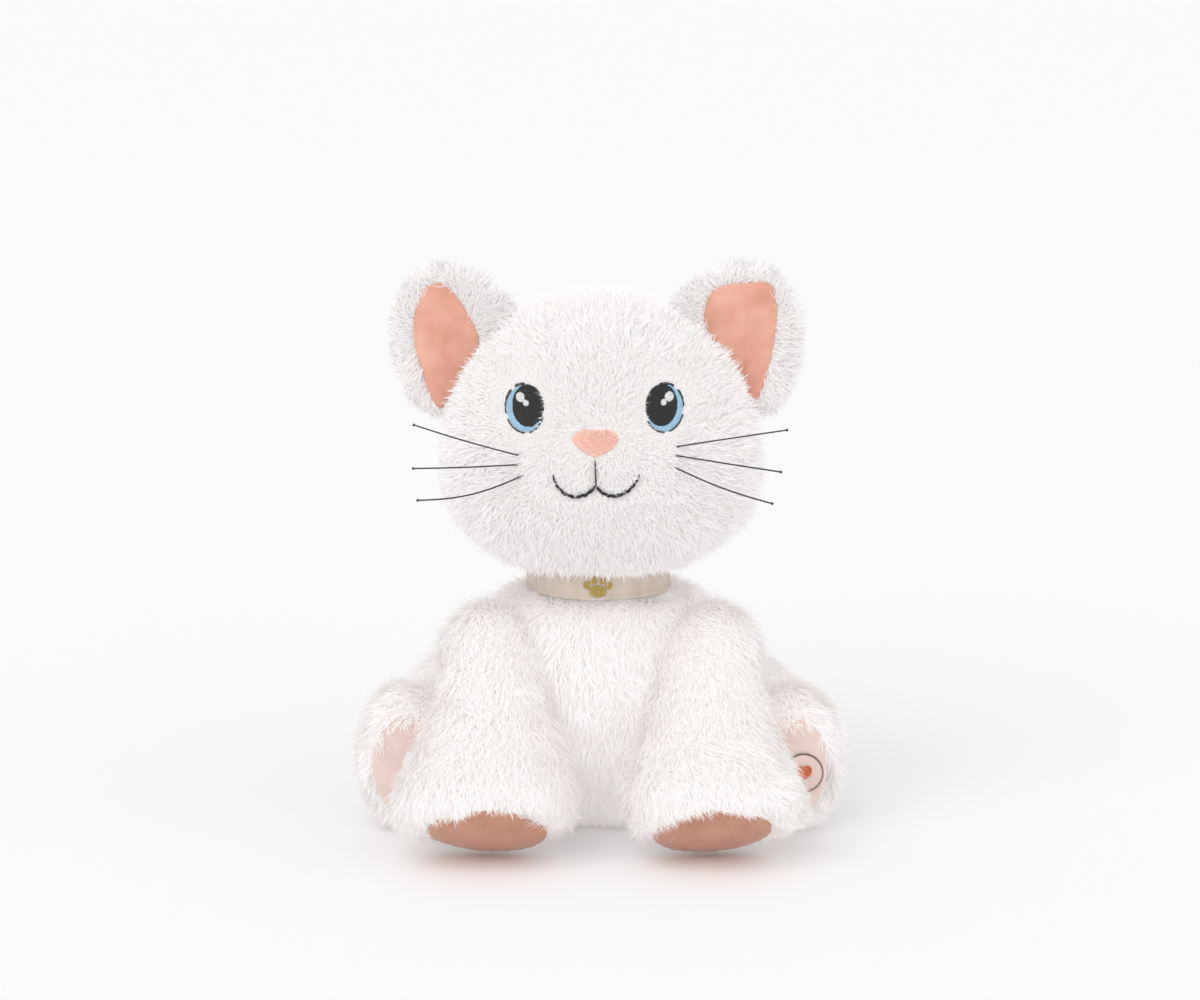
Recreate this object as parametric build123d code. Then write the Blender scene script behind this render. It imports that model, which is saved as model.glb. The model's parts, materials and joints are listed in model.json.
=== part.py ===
from build123d import *
import math
import os

# Interactive plush pet: a sitting kitten that faces -Y. Millimetres, +Z up, seat at Z = 0.
# "left" and "right" are the pet's own sides, so left is +X.
# Soft parts stop about 6 mm inside the tips of their long pile.

# ---------------------------------------------------------------- driving dimensions
y_shift = 3.6            # moves everything so that the origin is under the middle of the box
skin = 3.0               # fabric backing with the pressed roots of its pile
gap = 0.6                # free space between soft bodies that move past each other
neck_y = -10.0           # vertical axis of the neck and of the head shaft

# level ovals of the soft forms: height, centre y, half width, half depth
torso_rows = [
    (0, 12, 42, 38),
    (13, 10, 58, 49),
    (36, 6, 68, 55),
    (62, 0, 64, 51),
    (86, -1, 53, 48),
    (104, -10, 37, 34),
]
head_rows = [
    (122, -13, 27, 26),
    (129, -16, 47, 39),
    (142, -20, 62, 50),
    (160, -22, 69, 56),
    (178, -21, 68, 57),
    (198, -18, 62, 54),
    (216, -15, 51, 46),
    (230, -13, 34, 33),
    (238, -12, 14, 14),
]
head_x = 1.0
face_x = -3.0            # the face looks a touch to the pet's right
eye_height = 203.0
eye_spread = 31.0
eye_half = (8.6, 11.6)
nose_height = 187.0
nose_half = (9.8, 5.2)
mouth_height = 167.0

shoulder = (45, -32, 80)         # pivot of a foreleg
shoulder_radius = 22.0
foreleg_inner_plane = 27.6       # forelegs stay outside this |x| where they pass the torso
sole_centre = (51, -88, 18.5)
foreleg_rows = [                 # share of the way to the sole, half width, half thickness
    (0.0, 20, 20),
    (0.36, 25, 21),
    (0.66, 32, 23),
    (0.86, 36, 25),
    (1.0, 32, 21.5),
]
hind_foot = (85, -25, 34)
hind_foot_radii = (22, 25, 34)
hind_sole_y = -44.0
thigh = (64, 8, 37)
thigh_radii = (28, 40, 37)
press_axis = (90.5, 30.0)        # x and z of the press switch in the left hind foot
press_travel = 2.0
tail_root = (0, 58, 21)
tail_radius = 11.0

sleeve_radius = 31.0
collar_width = 15.0
collar_base = 105.0
ribbon = 1.0

case_half_width = 24.0
case_front_y = -16.0
case_rear_y = 38.0
case_bottom = 6.0
case_top = 86.0
case_split_y = 12.0
wall = 2.0

tooth_module = 0.5
pressure_angle = math.radians(25)
wheel_teeth = 42
pinion_teeth = 12
backlash = 0.10
mesh = tooth_module * (wheel_teeth + pinion_teeth) / 2
running_gap = 0.05

battery_radius = 5.25
battery_length = 44.5
battery_pitch = 10.9
door_gap = 0.25

parts = {}


def keep(name, *shapes):
    """Store a node: one shape, or several separate solids."""
    solids = [Pos(0, y_shift, 0) * solid for shape in shapes for solid in shape.solids()]
    parts[name] = solids[0] if len(solids) == 1 else Compound(children=solids)


def block(x0, x1, y0, y1, z0, z1):
    """A box from its low and high corners."""
    centre = ((x0 + x1) / 2, (y0 + y1) / 2, (z0 + z1) / 2)
    return Pos(*centre) * Box(x1 - x0, y1 - y0, z1 - z0)


def round_block(x0, x1, y0, y1, z0, z1, radius):
    """A box with rounded upright edges."""
    plan = Plane(((x0 + x1) / 2, (y0 + y1) / 2, z0)) * RectangleRounded(x1 - x0, y1 - y0, radius)
    return extrude(plan, z1 - z0, dir=(0, 0, 1))


def rod(start, end, radius):
    """A cylinder between two points."""
    a = Vector(*start)
    b = Vector(*end)
    return extrude(Plane(a, z_dir=b - a) * Circle(radius), (b - a).length)


def ellipsoid(centre, radii):
    return Pos(*centre) * scale(Sphere(1), by=radii)


def oval_loft(rows, centre_x=0.0, inset=0.0):
    """A soft form lofted through level ovals, or the same form shrunk by inset."""
    ovals = []
    last = len(rows) - 1
    for i, (z, y, half_x, half_y) in enumerate(rows):
        level = z + inset if i == 0 else z - inset if i == last else z
        ovals.append(Plane((centre_x, y, level)) * Ellipse(half_x - inset, half_y - inset))
    return loft(ovals)


def lead(points, radii, radius):
    """An insulated wire: straight runs joined by tangent arcs."""
    path = FilletPolyline(*points, radius=radii)
    return sweep(Plane(path @ 0, z_dir=path % 0) * Circle(radius), path=path)


def mirrored(shape, side):
    return shape if side > 0 else mirror(shape, Plane.YZ)


# ---------------------------------------------------------------- torso and forelegs
torso_form = oval_loft(torso_rows)
torso_inner = oval_loft(torso_rows, inset=skin)
head_form = oval_loft(head_rows, head_x)
head_inner = oval_loft(head_rows, head_x, skin)

run = Vector(0, sole_centre[1] - shoulder[1], sole_centre[2] - shoulder[2])
leg_length = run.length
down_leg = run.normalized()
behind_leg = Vector(0, -down_leg.Z, down_leg.Y)


def leg_pocket(grow):
    """The room a foreleg needs beside the torso while it swings forward."""
    pivot = Vector(0, shoulder[1], shoulder[2])
    radius = shoulder_radius + gap + grow
    hub = pivot + behind_leg * radius
    heel = pivot + down_leg * leg_length * 1.3 + behind_leg * (radius + 4)
    outline = [
        (hub.Y, hub.Z),
        (heel.Y, heel.Z),
        (-160, heel.Z),
        (-160, shoulder[2] + radius),
        (shoulder[1], shoulder[2] + radius),
        (shoulder[1], shoulder[2]),
    ]
    inner = foreleg_inner_plane - gap - grow
    slab = extrude(Plane.YZ.offset(inner) * Polygon(*outline, align=None), 120, dir=(1, 0, 0))
    disc = rod((inner, shoulder[1], shoulder[2]), (inner + 120, shoulder[1], shoulder[2]), radius)
    return slab + disc


def foreleg():
    """A stuffed foreleg: a round shoulder that widens to a flat sole."""
    sections = []
    for share, half_x, half_n in foreleg_rows:
        x = shoulder[0] + (sole_centre[0] - shoulder[0]) * share
        centre = Vector(x, shoulder[1], shoulder[2]) + run * share
        plane = Plane(centre, x_dir=(1, 0, 0), z_dir=down_leg)
        sections.append(plane * Ellipse(half_x, half_n))
    limb = loft(sections) + Pos(*shoulder) * Sphere(shoulder_radius)
    beside_torso = block(-1, foreleg_inner_plane, -53.5, 60, -20, 140)
    return limb - beside_torso


def fore_sole():
    """The satin sole: an oval pad on the flat end of the foreleg."""
    plane = Plane(sole_centre, x_dir=(1, 0, 0), z_dir=down_leg)
    return extrude(plane * Ellipse(27, 17), 1.2)


pockets = leg_pocket(0) + mirrored(leg_pocket(0), -1)
wide_pockets = leg_pocket(skin) + mirrored(leg_pocket(skin), -1)
tail_pocket = Pos(*tail_root) * Sphere(tail_radius + gap)
seat_opening = round_block(-24, 24, -17, 41, -1, skin + 1, 9)
neck_opening = rod((0, neck_y, 95), (0, neck_y, 125), 14)
case_room = block(-case_half_width, case_half_width, case_front_y, case_rear_y, 0, case_top)
nose_room = block(-15, 15, -24, case_front_y, 58, case_top)

pod_lead_points = [
    (press_axis[0], -27, press_axis[1]),
    (press_axis[0], -8, press_axis[1]),
    (58, 10, 34),
    (case_half_width - 1, 16, 38),
]
pod_lead_room = lead(pod_lead_points, [8, 10], 1.3)
pod_lead = lead(pod_lead_points, [8, 10], 1.1)

skin_inside = torso_inner - wide_pockets
torso_skin = torso_form - pockets - skin_inside - tail_pocket - seat_opening - neck_opening
keep("torso_skin", torso_skin - pod_lead_room)
stuffing = skin_inside - case_room - nose_room - tail_pocket - neck_opening
base_room = round_block(-24, 24, -17, 41, 0, case_bottom, 9)
boss_room = rod((0, neck_y, case_top - 1), (0, neck_y, 96), 8)
keep("torso_stuffing", stuffing - pod_lead_room - base_room - boss_room)

foreleg_shape = foreleg()
fore_sole_shape = fore_sole()
for name, side in (("left", 1), ("right", -1)):
    keep(f"{name}_foreleg", mirrored(foreleg_shape, side))
    keep(f"{name}_fore_sole", mirrored(fore_sole_shape, side))

# ---------------------------------------------------------------- hind legs and press switch
foot = ellipsoid(hind_foot, hind_foot_radii)
foot_behind_sole = foot - block(0, 150, -90, hind_sole_y, -10, 120)
above_floor = block(0, 150, -90, 90, 0.2, 120)
hind_leg = (foot_behind_sole + ellipsoid(thigh, thigh_radii)) & above_floor
hind_leg = hind_leg - torso_form - leg_pocket(0)
sole_plane = Plane((hind_foot[0], hind_sole_y, 29), x_dir=(1, 0, 0), z_dir=(0, -1, 0))
hind_sole = extrude(sole_plane * Ellipse(15, 21), 1.2)

px, pz = press_axis
patch_hole = rod((px, hind_sole_y - 5, pz), (px, hind_sole_y + 1, pz), 8.3)
pod_room = rod((px, hind_sole_y, pz), (px, -27, pz), 10.5)
keep("left_hind_leg", hind_leg - pod_room - pod_lead_room)
keep("left_hind_sole", hind_sole - patch_hole)
keep("right_hind_leg", mirrored(hind_leg, -1))
keep("right_hind_sole", mirrored(hind_sole, -1))

pod_shell = rod((px, -41.5, pz), (px, -27, pz), 10.5)
pod_inside = rod((px, -42, pz), (px, -29, pz), 9.0)
pod_lip = rod((px, -43.5, pz), (px, -41.5, pz), 10.5) - rod((px, -44, pz), (px, -41, pz), 8.3)
pod_exit = rod((px, -30, pz), (px, -26, pz), 1.15)
keep("press_pod", pod_shell - pod_inside + pod_lip - pod_exit)
cap = rod((px, -45.1, pz), (px, -39.2, pz), 8.0)
stem = rod((px, -39.2, pz), (px, -36.5, pz), 3.0)
keep("press_plunger", cap + stem)
dome = rod((px, -34.3, pz), (px, -29, pz), 6.0)
keep("press_dome", dome - rod((px, -33, pz), (px, -28.9, pz), 4.5))
mark_disc = rod((px, -46.3, pz), (px, -45.1, pz), 3.0)
keep("press_mark", mark_disc)

# ---------------------------------------------------------------- tail
tail_path = Spline((0, 58, 21), (6, 76, 15), (30, 86, 12.2), (52, 84, 12.2))
tail_tube = sweep(Plane(tail_path @ 0, z_dir=tail_path % 0) * Circle(tail_radius - 0.6), path=tail_path)
tail = tail_tube + Pos(*tail_root) * Sphere(tail_radius)
tail = tail + Pos(*(tail_path @ 1)) * Sphere(tail_radius - 0.6)
keep("tail", tail & block(-60, 120, 20, 140, 0.3, 60))

# ---------------------------------------------------------------- neck and collar
sleeve_foot = torso_rows[-1][0]
sleeve = rod((0, neck_y, sleeve_foot), (0, neck_y, 121.2), sleeve_radius)
keep("neck_sleeve", sleeve - rod((0, neck_y, sleeve_foot - 1), (0, neck_y, 123), sleeve_radius - 2))
collar_outer = sleeve_radius + 0.2 + ribbon
collar_top = collar_base + collar_width
band = rod((0, neck_y, collar_base), (0, neck_y, collar_top), collar_outer)
band = band - rod((0, neck_y, collar_base - 1), (0, neck_y, collar_top + 1), collar_outer - ribbon)
keep("collar_ribbon", band)

# ---------------------------------------------------------------- head
skull_centre = (0, -16, 159)
skull_radii = (34, 30, 32)
plate_top = 129.0
skull_outer = ellipsoid(skull_centre, skull_radii)
skull_inner = ellipsoid(skull_centre, tuple(r - wall for r in skull_radii))
above_plate = block(-50, 50, -60, 40, plate_top, 200)
hub_room = rod((0, neck_y, 115), (0, neck_y, 126), 14)
plate_room = rod((0, neck_y, 126), (0, neck_y, plate_top), 20)

keep("head_skin", head_form - head_inner - hub_room)
keep("head_stuffing", head_inner - (skull_outer & above_plate) - plate_room - hub_room)
screw_room = rod((0, neck_y, plate_top - 1), (0, neck_y, plate_top + 8), 5)
keep("skull_shell", (skull_outer - skull_inner - screw_room) & above_plate)
plate = rod((0, neck_y, 126), (0, neck_y, plate_top), 20) + rod((0, neck_y, 118), (0, neck_y, 126), 6)
plate = plate - rod((0, neck_y, 117), (0, neck_y, 127), 3)
plate = plate - rod((0, neck_y, 126), (0, neck_y, 130), 1.25)
keep("skull_plate", plate)
skull_screw = rod((0, neck_y, plate_top), (0, neck_y, plate_top + 1.6), 2.6)
skull_screw = skull_screw + rod((0, neck_y, 121), (0, neck_y, plate_top), 1.25)
keep("skull_screw", skull_screw)


def ear_outline(points):
    return Plane.XZ * make_face(Spline(*points, periodic=True))


def ear_piece(points, y0, y1):
    """An upright soft panel: its outline in front view, drawn from y0 back to y1."""
    panel = extrude(ear_outline(points), y1 - y0, dir=(0, 1, 0))
    return Pos(0, y0, 0) * panel


left_ear_points = [(38, 226), (48, 246), (67, 252), (83, 241), (88, 219), (80, 193), (62, 190), (44, 205)]
left_lining_points = [(49, 240), (66, 243), (78, 236), (80, 218), (71, 193), (58, 207), (48, 225)]
right_ear_points = [(-44, 226), (-54, 246), (-72, 252), (-87, 241), (-92, 220), (-83, 195), (-64, 190), (-47, 205)]
right_lining_points = [(-67, 243), (-79, 241), (-85, 226), (-80, 208), (-72, 190), (-62, 206), (-55, 226)]
ear_front = -18.0
ear_back = -5.0
ears = {
    "left": (left_ear_points, left_lining_points),
    "right": (right_ear_points, right_lining_points),
}
for name, (outer, lining) in ears.items():
    keep(f"{name}_ear", ear_piece(outer, ear_front, ear_back) - head_form)
    keep(f"{name}_ear_lining", ear_piece(lining, ear_front - 1.2, ear_front) - head_form)

face_shell = oval_loft(head_rows, head_x, -0.8) - head_form


def on_face(sketch):
    """A flat shape in front view, wrapped onto the face as a thin stitched patch."""
    prism = extrude(Pos(0, -110, 0) * (Plane.XZ * sketch), 60, dir=(0, 1, 0))
    return face_shell & prism


for name, side in (("left", 1), ("right", -1)):
    centre = (face_x + side * eye_spread, eye_height)
    keep(f"{name}_eye", on_face(Pos(*centre) * Ellipse(*eye_half)))
keep("nose", on_face(Pos(face_x + 0.8, nose_height) * Ellipse(*nose_half)))

mouth_x = face_x + 1.5
half_mouth = 19.0
smile_left = ThreePointArc((mouth_x - half_mouth, mouth_height + 2), (mouth_x - 9, mouth_height - 6),
                           (mouth_x, mouth_height + 1))
smile_right = ThreePointArc((mouth_x, mouth_height + 1), (mouth_x + 9, mouth_height - 6),
                            (mouth_x + half_mouth, mouth_height + 2))
philtrum = Line((mouth_x, mouth_height + 1), (mouth_x, nose_height - 8))
strokes = Sketch() + [trace(line, 1.2) for line in (smile_left, smile_right, philtrum)]
keep("mouth", on_face(strokes))

# root, middle and tip of each whisker
whisker_lines = {
    "left": [
        ((34.9, -64, 183), (60, -76, 190), (83, -82, 193)),
        ((34, -64, 179), (60, -77, 178), (81, -82, 173)),
        ((32.7, -65, 175), (58, -77, 168), (77, -80, 158)),
    ],
    "right": [
        ((-36, -63, 179), (-60, -76, 189), (-83, -82, 196)),
        ((-36, -63, 175), (-60, -77, 176), (-83, -82, 175)),
        ((-34.7, -64, 171), (-60, -77, 168), (-81.5, -80, 160)),
    ],
}
for name, lines in whisker_lines.items():
    hairs = []
    for root_point, middle, tip in lines:
        path = Spline(root_point, middle, tip)
        hairs.append(sweep(Plane(path @ 0, z_dir=path % 0) * Circle(0.4), path=path) - head_form)
    keep(f"{name}_whiskers", *hairs)

# ---------------------------------------------------------------- electronics case
inner_half = case_half_width - wall
case_block = block(-case_half_width, case_half_width, case_front_y, case_rear_y, case_bottom, case_top)
case_block = case_block + block(-15, 15, -24, case_front_y, 58, case_top)
case_hollow = block(-inner_half, inner_half, case_front_y + wall, case_rear_y - wall, 0, case_top - wall)
case_hollow = case_hollow + block(-13, 13, -22, case_front_y + wall, 60, case_top - wall)
case_shell = case_block - case_hollow
front_half = block(-60, 60, -60, case_split_y, -10, 120)
rear_half = block(-60, 60, case_split_y, 100, -10, 120)
case_screw_places = [(20, 27), (-20, 27), (20, 78), (-20, 78)]

case_front = case_shell & front_half
case_rear = case_shell & rear_half
for x, z in case_screw_places:
    side = 1 if x > 0 else -1
    web = block(min(x, side * inner_half), max(x, side * inner_half), 2, case_split_y, z - 2, z + 2)
    case_front = case_front + rod((x, 2, z), (x, case_split_y, z), 2.8) + web
    case_rear = case_rear + rod((x, case_split_y, z), (x, case_rear_y - 1, z), 2.8)
    case_front = case_front - rod((x, 3, z), (x, case_split_y + 1, z), 1.0)
    case_rear = case_rear - rod((x, case_split_y - 1, z), (x, case_rear_y + 1, z), 1.0)
    case_rear = case_rear - rod((x, case_rear_y - 1.5, z), (x, case_rear_y + 1, z), 2.1)
boss = rod((0, neck_y, case_top - 1), (0, neck_y, 96), 8)
case_front = case_front + boss - rod((0, neck_y, case_top - 3), (0, neck_y, 97), 3.6)
speaker_z = 40
for ring, count in ((0, 1), (5, 6), (10, 12)):
    for i in range(count):
        turn = 2 * math.pi * i / count
        x = ring * math.cos(turn)
        z = speaker_z + ring * math.sin(turn)
        case_front = case_front - rod((x, case_front_y - 1, z), (x, case_front_y + wall + 1, z), 1.2)
keep("case_front", case_front)
lead_hole = rod((inner_half - 1, 15.5, 37.7), (case_half_width + 1, 15.5, 38.3), 2.2)
keep("case_rear", case_rear - pod_lead_room - lead_hole)

# ---------------------------------------------------------------- underside: base plate, cells, switch
door_x = 16.6
door_y = (-11.5, 34.0)
tab_y = -15.5
switch_x = 20.6
switch_y = 12.0
switch_travel = 3.0
base = round_block(-24, 24, -17, 41, 0.6, case_bottom, 9)
base = base - block(-door_x, door_x, door_y[0], door_y[1], 0, 10)
base = base - block(-6, 6, tab_y - door_gap, door_y[0] + 1, 0, 2.4)
slot_half = switch_travel / 2 + 2 + 0.3
base = base - block(switch_x - 1.4, switch_x + 1.4, switch_y - slot_half, switch_y + slot_half, 0, 10)
base = base - rod((0, -13.4, 0), (0, -13.4, 5.6), 1.3)
keep("base_plate", base)

door = block(-door_x + door_gap, door_x - door_gap, door_y[0] + door_gap, door_y[1] - door_gap, 0.6, 2.4)
door = door + block(-6 + door_gap, 6 - door_gap, tab_y, door_y[0] + 1, 0.6, 2.0)
for i in range(5):
    y = 18 + i * 3
    door = door - block(-9, 9, y, y + 1.2, 0, 0.9)
door = door - rod((0, -13.4, 0), (0, -13.4, 3), 1.2) - rod((0, -13.4, 0), (0, -13.4, 1.3), 2.0)
keep("battery_door", door)
door_screw = rod((0, -13.4, 0.7), (0, -13.4, 1.3), 2.0) + rod((0, -13.4, 1.3), (0, -13.4, 5.2), 1.2)
keep("door_screw", door_screw)

knob_y = switch_y - switch_travel / 2
knob = block(switch_x - 1.2, switch_x + 1.2, knob_y - 2, knob_y + 2, 1.0, 7.5)
keep("switch_knob", knob)
switch_body = block(18.4, inner_half, switch_y - 7, switch_y + 7, case_bottom, 11)
switch_pocket = block(switch_x - 1.4, inner_half - 0.2, switch_y - slot_half, switch_y + slot_half, 5, 8)
keep("switch_body", switch_body - switch_pocket)

box = block(-18.2, 18.2, -13.5, 36, case_bottom, 20)
box = box - block(-door_x, door_x, -12, 34.5, 5, 18.2)
keep("battery_box", box)
cell_y = 11.25
cell_z = 12.2
cells = []
contacts = []
for i in (-1, 0, 1):
    x = i * battery_pitch
    turned = -1 if i == 0 else 1
    low = cell_y - battery_length / 2
    cells.append(rod((x, low + 1, cell_z), (x, low + battery_length - 1, cell_z), battery_radius))
    nub = cell_y + turned * (battery_length / 2 - 1)
    cells[-1] = cells[-1] + rod((x, nub, cell_z), (x, nub + turned * 1.0, cell_z), 1.9)
    for end in (-1, 1):
        y_wall = -12.0 if end < 0 else 34.5
        y_inner = y_wall - end * 0.5
        contacts.append(block(x - 3.5, x + 3.5, min(y_wall, y_inner), max(y_wall, y_inner), 8, 16))
keep("battery_cells", *cells)
keep("battery_contacts", *contacts)

# ---------------------------------------------------------------- circuit board and speaker
board_y = 31.6
board = block(-17, 17, board_y, board_y + 1.6, 24, 81)
keep("circuit_board", board)
# each chip: low and high x, low and high z, height off the board
chips = [
    (-6, 6, 50, 62, 1.5),
    (-9, -4, 30, 36, 2.2),
    (5, 12, 30, 38, 3.0),
    (-13, -4, 68, 74, 1.2),
    (4, 12, 68, 77, 4.0),
]
keep("board_parts", *[block(x0, x1, board_y - tall, board_y, z0, z1) for x0, x1, z0, z1, tall in chips])

front_inner = case_front_y + wall
basket = rod((0, front_inner, speaker_z), (0, front_inner + 3, speaker_z), 16)
basket = basket + rod((0, front_inner + 3, speaker_z), (0, front_inner + 6, speaker_z), 11)
cone_room = rod((0, front_inner - 1, speaker_z), (0, front_inner + 4.5, speaker_z), 9.5)
basket = basket - rod((0, front_inner - 1, speaker_z), (0, front_inner + 2, speaker_z), 14.5) - cone_room
keep("speaker_basket", basket)
cone = rod((0, front_inner + 1.2, speaker_z), (0, front_inner + 1.6, speaker_z), 14.3)
cone = cone + rod((0, front_inner + 1.2, speaker_z), (0, front_inner + 4.2, speaker_z), 5)
keep("speaker_cone", cone - rod((0, front_inner + 1, speaker_z), (0, front_inner + 3.8, speaker_z), 4.5))
keep("speaker_magnet", rod((0, front_inner + 6, speaker_z), (0, front_inner + 10, speaker_z), 9))

# ---------------------------------------------------------------- gearbox
output_at = Vector(0, neck_y)
second_at = output_at + Vector(0, mesh)
first_at = second_at + Vector(mesh * math.cos(math.radians(60)), mesh * math.sin(math.radians(60)))
motor_at = first_at - Vector(mesh, 0)


def tooth_outline(teeth, turn):
    """Involute outline of a gear, with one tooth centred on the angle turn."""
    pitch = tooth_module * teeth / 2
    base_circle = pitch * math.cos(pressure_angle)
    tip = pitch + 0.8 * tooth_module
    root = pitch - 1.1 * tooth_module
    start = max(base_circle * 1.0001, root)
    half = math.pi / (2 * teeth) - backlash / (2 * pitch)
    half += math.tan(pressure_angle) - pressure_angle
    outline = []
    for k in range(teeth):
        middle = turn + 2 * math.pi * k / teeth
        flank = []
        for i in range(5):
            r = start + (tip - start) * i / 4
            a = math.acos(base_circle / r)
            flank.append((r, half - (math.tan(a) - a)))
        flank.insert(0, (root, flank[0][1]))
        for r, angle in flank:
            outline.append((r * math.cos(middle - angle), r * math.sin(middle - angle)))
        for r, angle in reversed(flank):
            outline.append((r * math.cos(middle + angle), r * math.sin(middle + angle)))
    return outline


def gear(centre, teeth, toward, gapped, z0, z1):
    """A spur gear with a tooth, or a gap if gapped, pointing at the centre it meshes with."""
    turn = math.atan2(toward.Y - centre.Y, toward.X - centre.X)
    if gapped:
        turn += math.pi / teeth
    face = Plane((centre.X, centre.Y, z0)) * Polygon(*tooth_outline(teeth, turn), align=None)
    return extrude(face, z1 - z0, dir=(0, 0, 1))


def at(point, z):
    return (point.X, point.Y, z)


pin_radius = 1.0
pin_bore = pin_radius + running_gap
output_gear = gear(output_at, wheel_teeth, second_at, True, 73.5, 76.5)
output_gear = output_gear + rod(at(output_at, 76.5), at(output_at, 79.5), 4.5)
keep("output_gear", output_gear - rod(at(output_at, 73), at(output_at, 80), 2.5))
second = gear(second_at, wheel_teeth, first_at, True, 68.2, 71.2)
second = second + gear(second_at, pinion_teeth, output_at, False, 71.2, 77.4)
keep("second_gear", second - rod(at(second_at, 60), at(second_at, 90), pin_bore))
first = gear(first_at, wheel_teeth, motor_at, True, 63.4, 66.4)
first = first + gear(first_at, pinion_teeth, second_at, False, 66.4, 72.0)
keep("first_gear", first - rod(at(first_at, 60), at(first_at, 90), pin_bore))
pinion = gear(motor_at, pinion_teeth, first_at, False, 63.0, 67.0)
keep("motor_pinion", pinion - rod(at(motor_at, 60), at(motor_at, 70), pin_radius))
keep("motor_shaft", rod(at(motor_at, 52), at(motor_at, 67.0), pin_radius))

floor_plate = block(-13, 13, -21, 24, 60, 62) + block(-inner_half, inner_half, 3, 9, 60, 62)
cover_plate = block(-13, 13, -21, 24, 81, 83)
post_places = [(-10.8, 21.8), (-11.3, -3.3), (11.3, -3.3)]
posts = []
for x, y in post_places:
    floor_plate = floor_plate + rod((x, y, 62), (x, y, 81), 1.7)
    floor_plate = floor_plate - rod((x, y, 75), (x, y, 82), 0.9)
    cover_plate = cover_plate - rod((x, y, 80), (x, y, 84), 0.9)
for centre in (first_at, second_at):
    floor_plate = floor_plate - rod(at(centre, 59), at(centre, 63), pin_radius)
    cover_plate = cover_plate - rod(at(centre, 80), at(centre, 84), pin_radius)
floor_plate = floor_plate - rod(at(output_at, 59), at(output_at, 63), 1.6 + running_gap)
floor_plate = floor_plate - rod(at(motor_at, 59), at(motor_at, 63), 3.05)
cover_plate = cover_plate - rod(at(output_at, 80), at(output_at, 84), 3.0 + running_gap)
keep("gearbox_floor", floor_plate)
keep("gearbox_cover", cover_plate)
keep("gear_pins", *[rod(at(centre, 60), at(centre, 83), pin_radius) for centre in (first_at, second_at)])

shaft = rod(at(output_at, 60.2), at(output_at, 73.5), 1.6)
shaft = shaft + rod(at(output_at, 73.5), at(output_at, 79.5), 2.5)
shaft = shaft + rod(at(output_at, 79.5), at(output_at, 126), 3.0)
keep("head_shaft", shaft - rod(at(output_at, 120.9), at(output_at, 127), 1.25))

mx = motor_at.X
my = motor_at.Y
can = block(mx - 10, mx + 10, my - 7.5, my + 7.5, 35, 60) & rod((mx, my, 35), (mx, my, 60), 10)
can = can + rod((mx, my, 60), (mx, my, 61.4), 3.0)
can = can - rod((mx, my, 51), (mx, my, 62), pin_radius + running_gap)
keep("motor_can", can)

screws = []
for x, z in case_screw_places:
    screws.append(rod((x, case_rear_y - 1.5, z), (x, case_rear_y - 0.2, z), 2.0)
                  + rod((x, 5, z), (x, case_rear_y - 1.5, z), 1.0))
for x, y in post_places:
    screws.append(rod((x, y, 83), (x, y, 83.9), 1.7) + rod((x, y, 76), (x, y, 83), 0.9))
keep("module_screws", *screws)

# ---------------------------------------------------------------- wiring
wires = [
    lead([(mx - 4, my, 35), (mx - 4, my, 28.5), (mx - 4, 29.6, 28.5), (mx - 4, 29.6, 40), (mx - 4, board_y, 46)],
         [3, 3, 2], 0.7),
    lead([(mx + 4, my, 35), (mx + 4, my, 25.5), (mx + 4, 28.6, 25.5), (mx + 4, 28.6, 40), (mx + 4, board_y, 46)],
         [3, 3, 2], 0.7),
    lead([(14, front_inner + 6.5, 30), (14, 4, 24), (14, 27, 24), (14, board_y, 27)], [4, 3], 0.7),
    lead([(-14, front_inner + 6.5, 30), (-14, 4, 24), (-14, 27, 24), (-14, board_y, 27)], [4, 3], 0.7),
]
keep("wiring", pod_lead, *[wire - board for wire in wires])

os.makedirs("parts", exist_ok=True)
for name, shape in parts.items():
    export_step(shape, f"parts/{name}.step")
whole = Compound(children=[solid for shape in parts.values() for solid in shape.solids()])
box_size = whole.bounding_box()
print(len(parts), "nodes, box", box_size.min, box_size.max)
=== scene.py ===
# %% [markdown]
# # A sitting plush kitten with working insides
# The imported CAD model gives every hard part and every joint. This script makes what the CAD can't show:
# stuffed forms under long pile, satin linings with puckered seams, stitched eyes, nose and mouth, a woven
# ribbon and nylon whiskers. The real pet is sewn from knitted pile fabric, so the soft forms come first,
# the pile is grown from them, and the trims are laid on last.

# %% Load the frame
import json
import math
import random
import time
import bmesh
import bpy
import numpy as np
from mathutils import Matrix, Vector, noise
from mathutils.bvhtree import BVHTree


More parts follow.
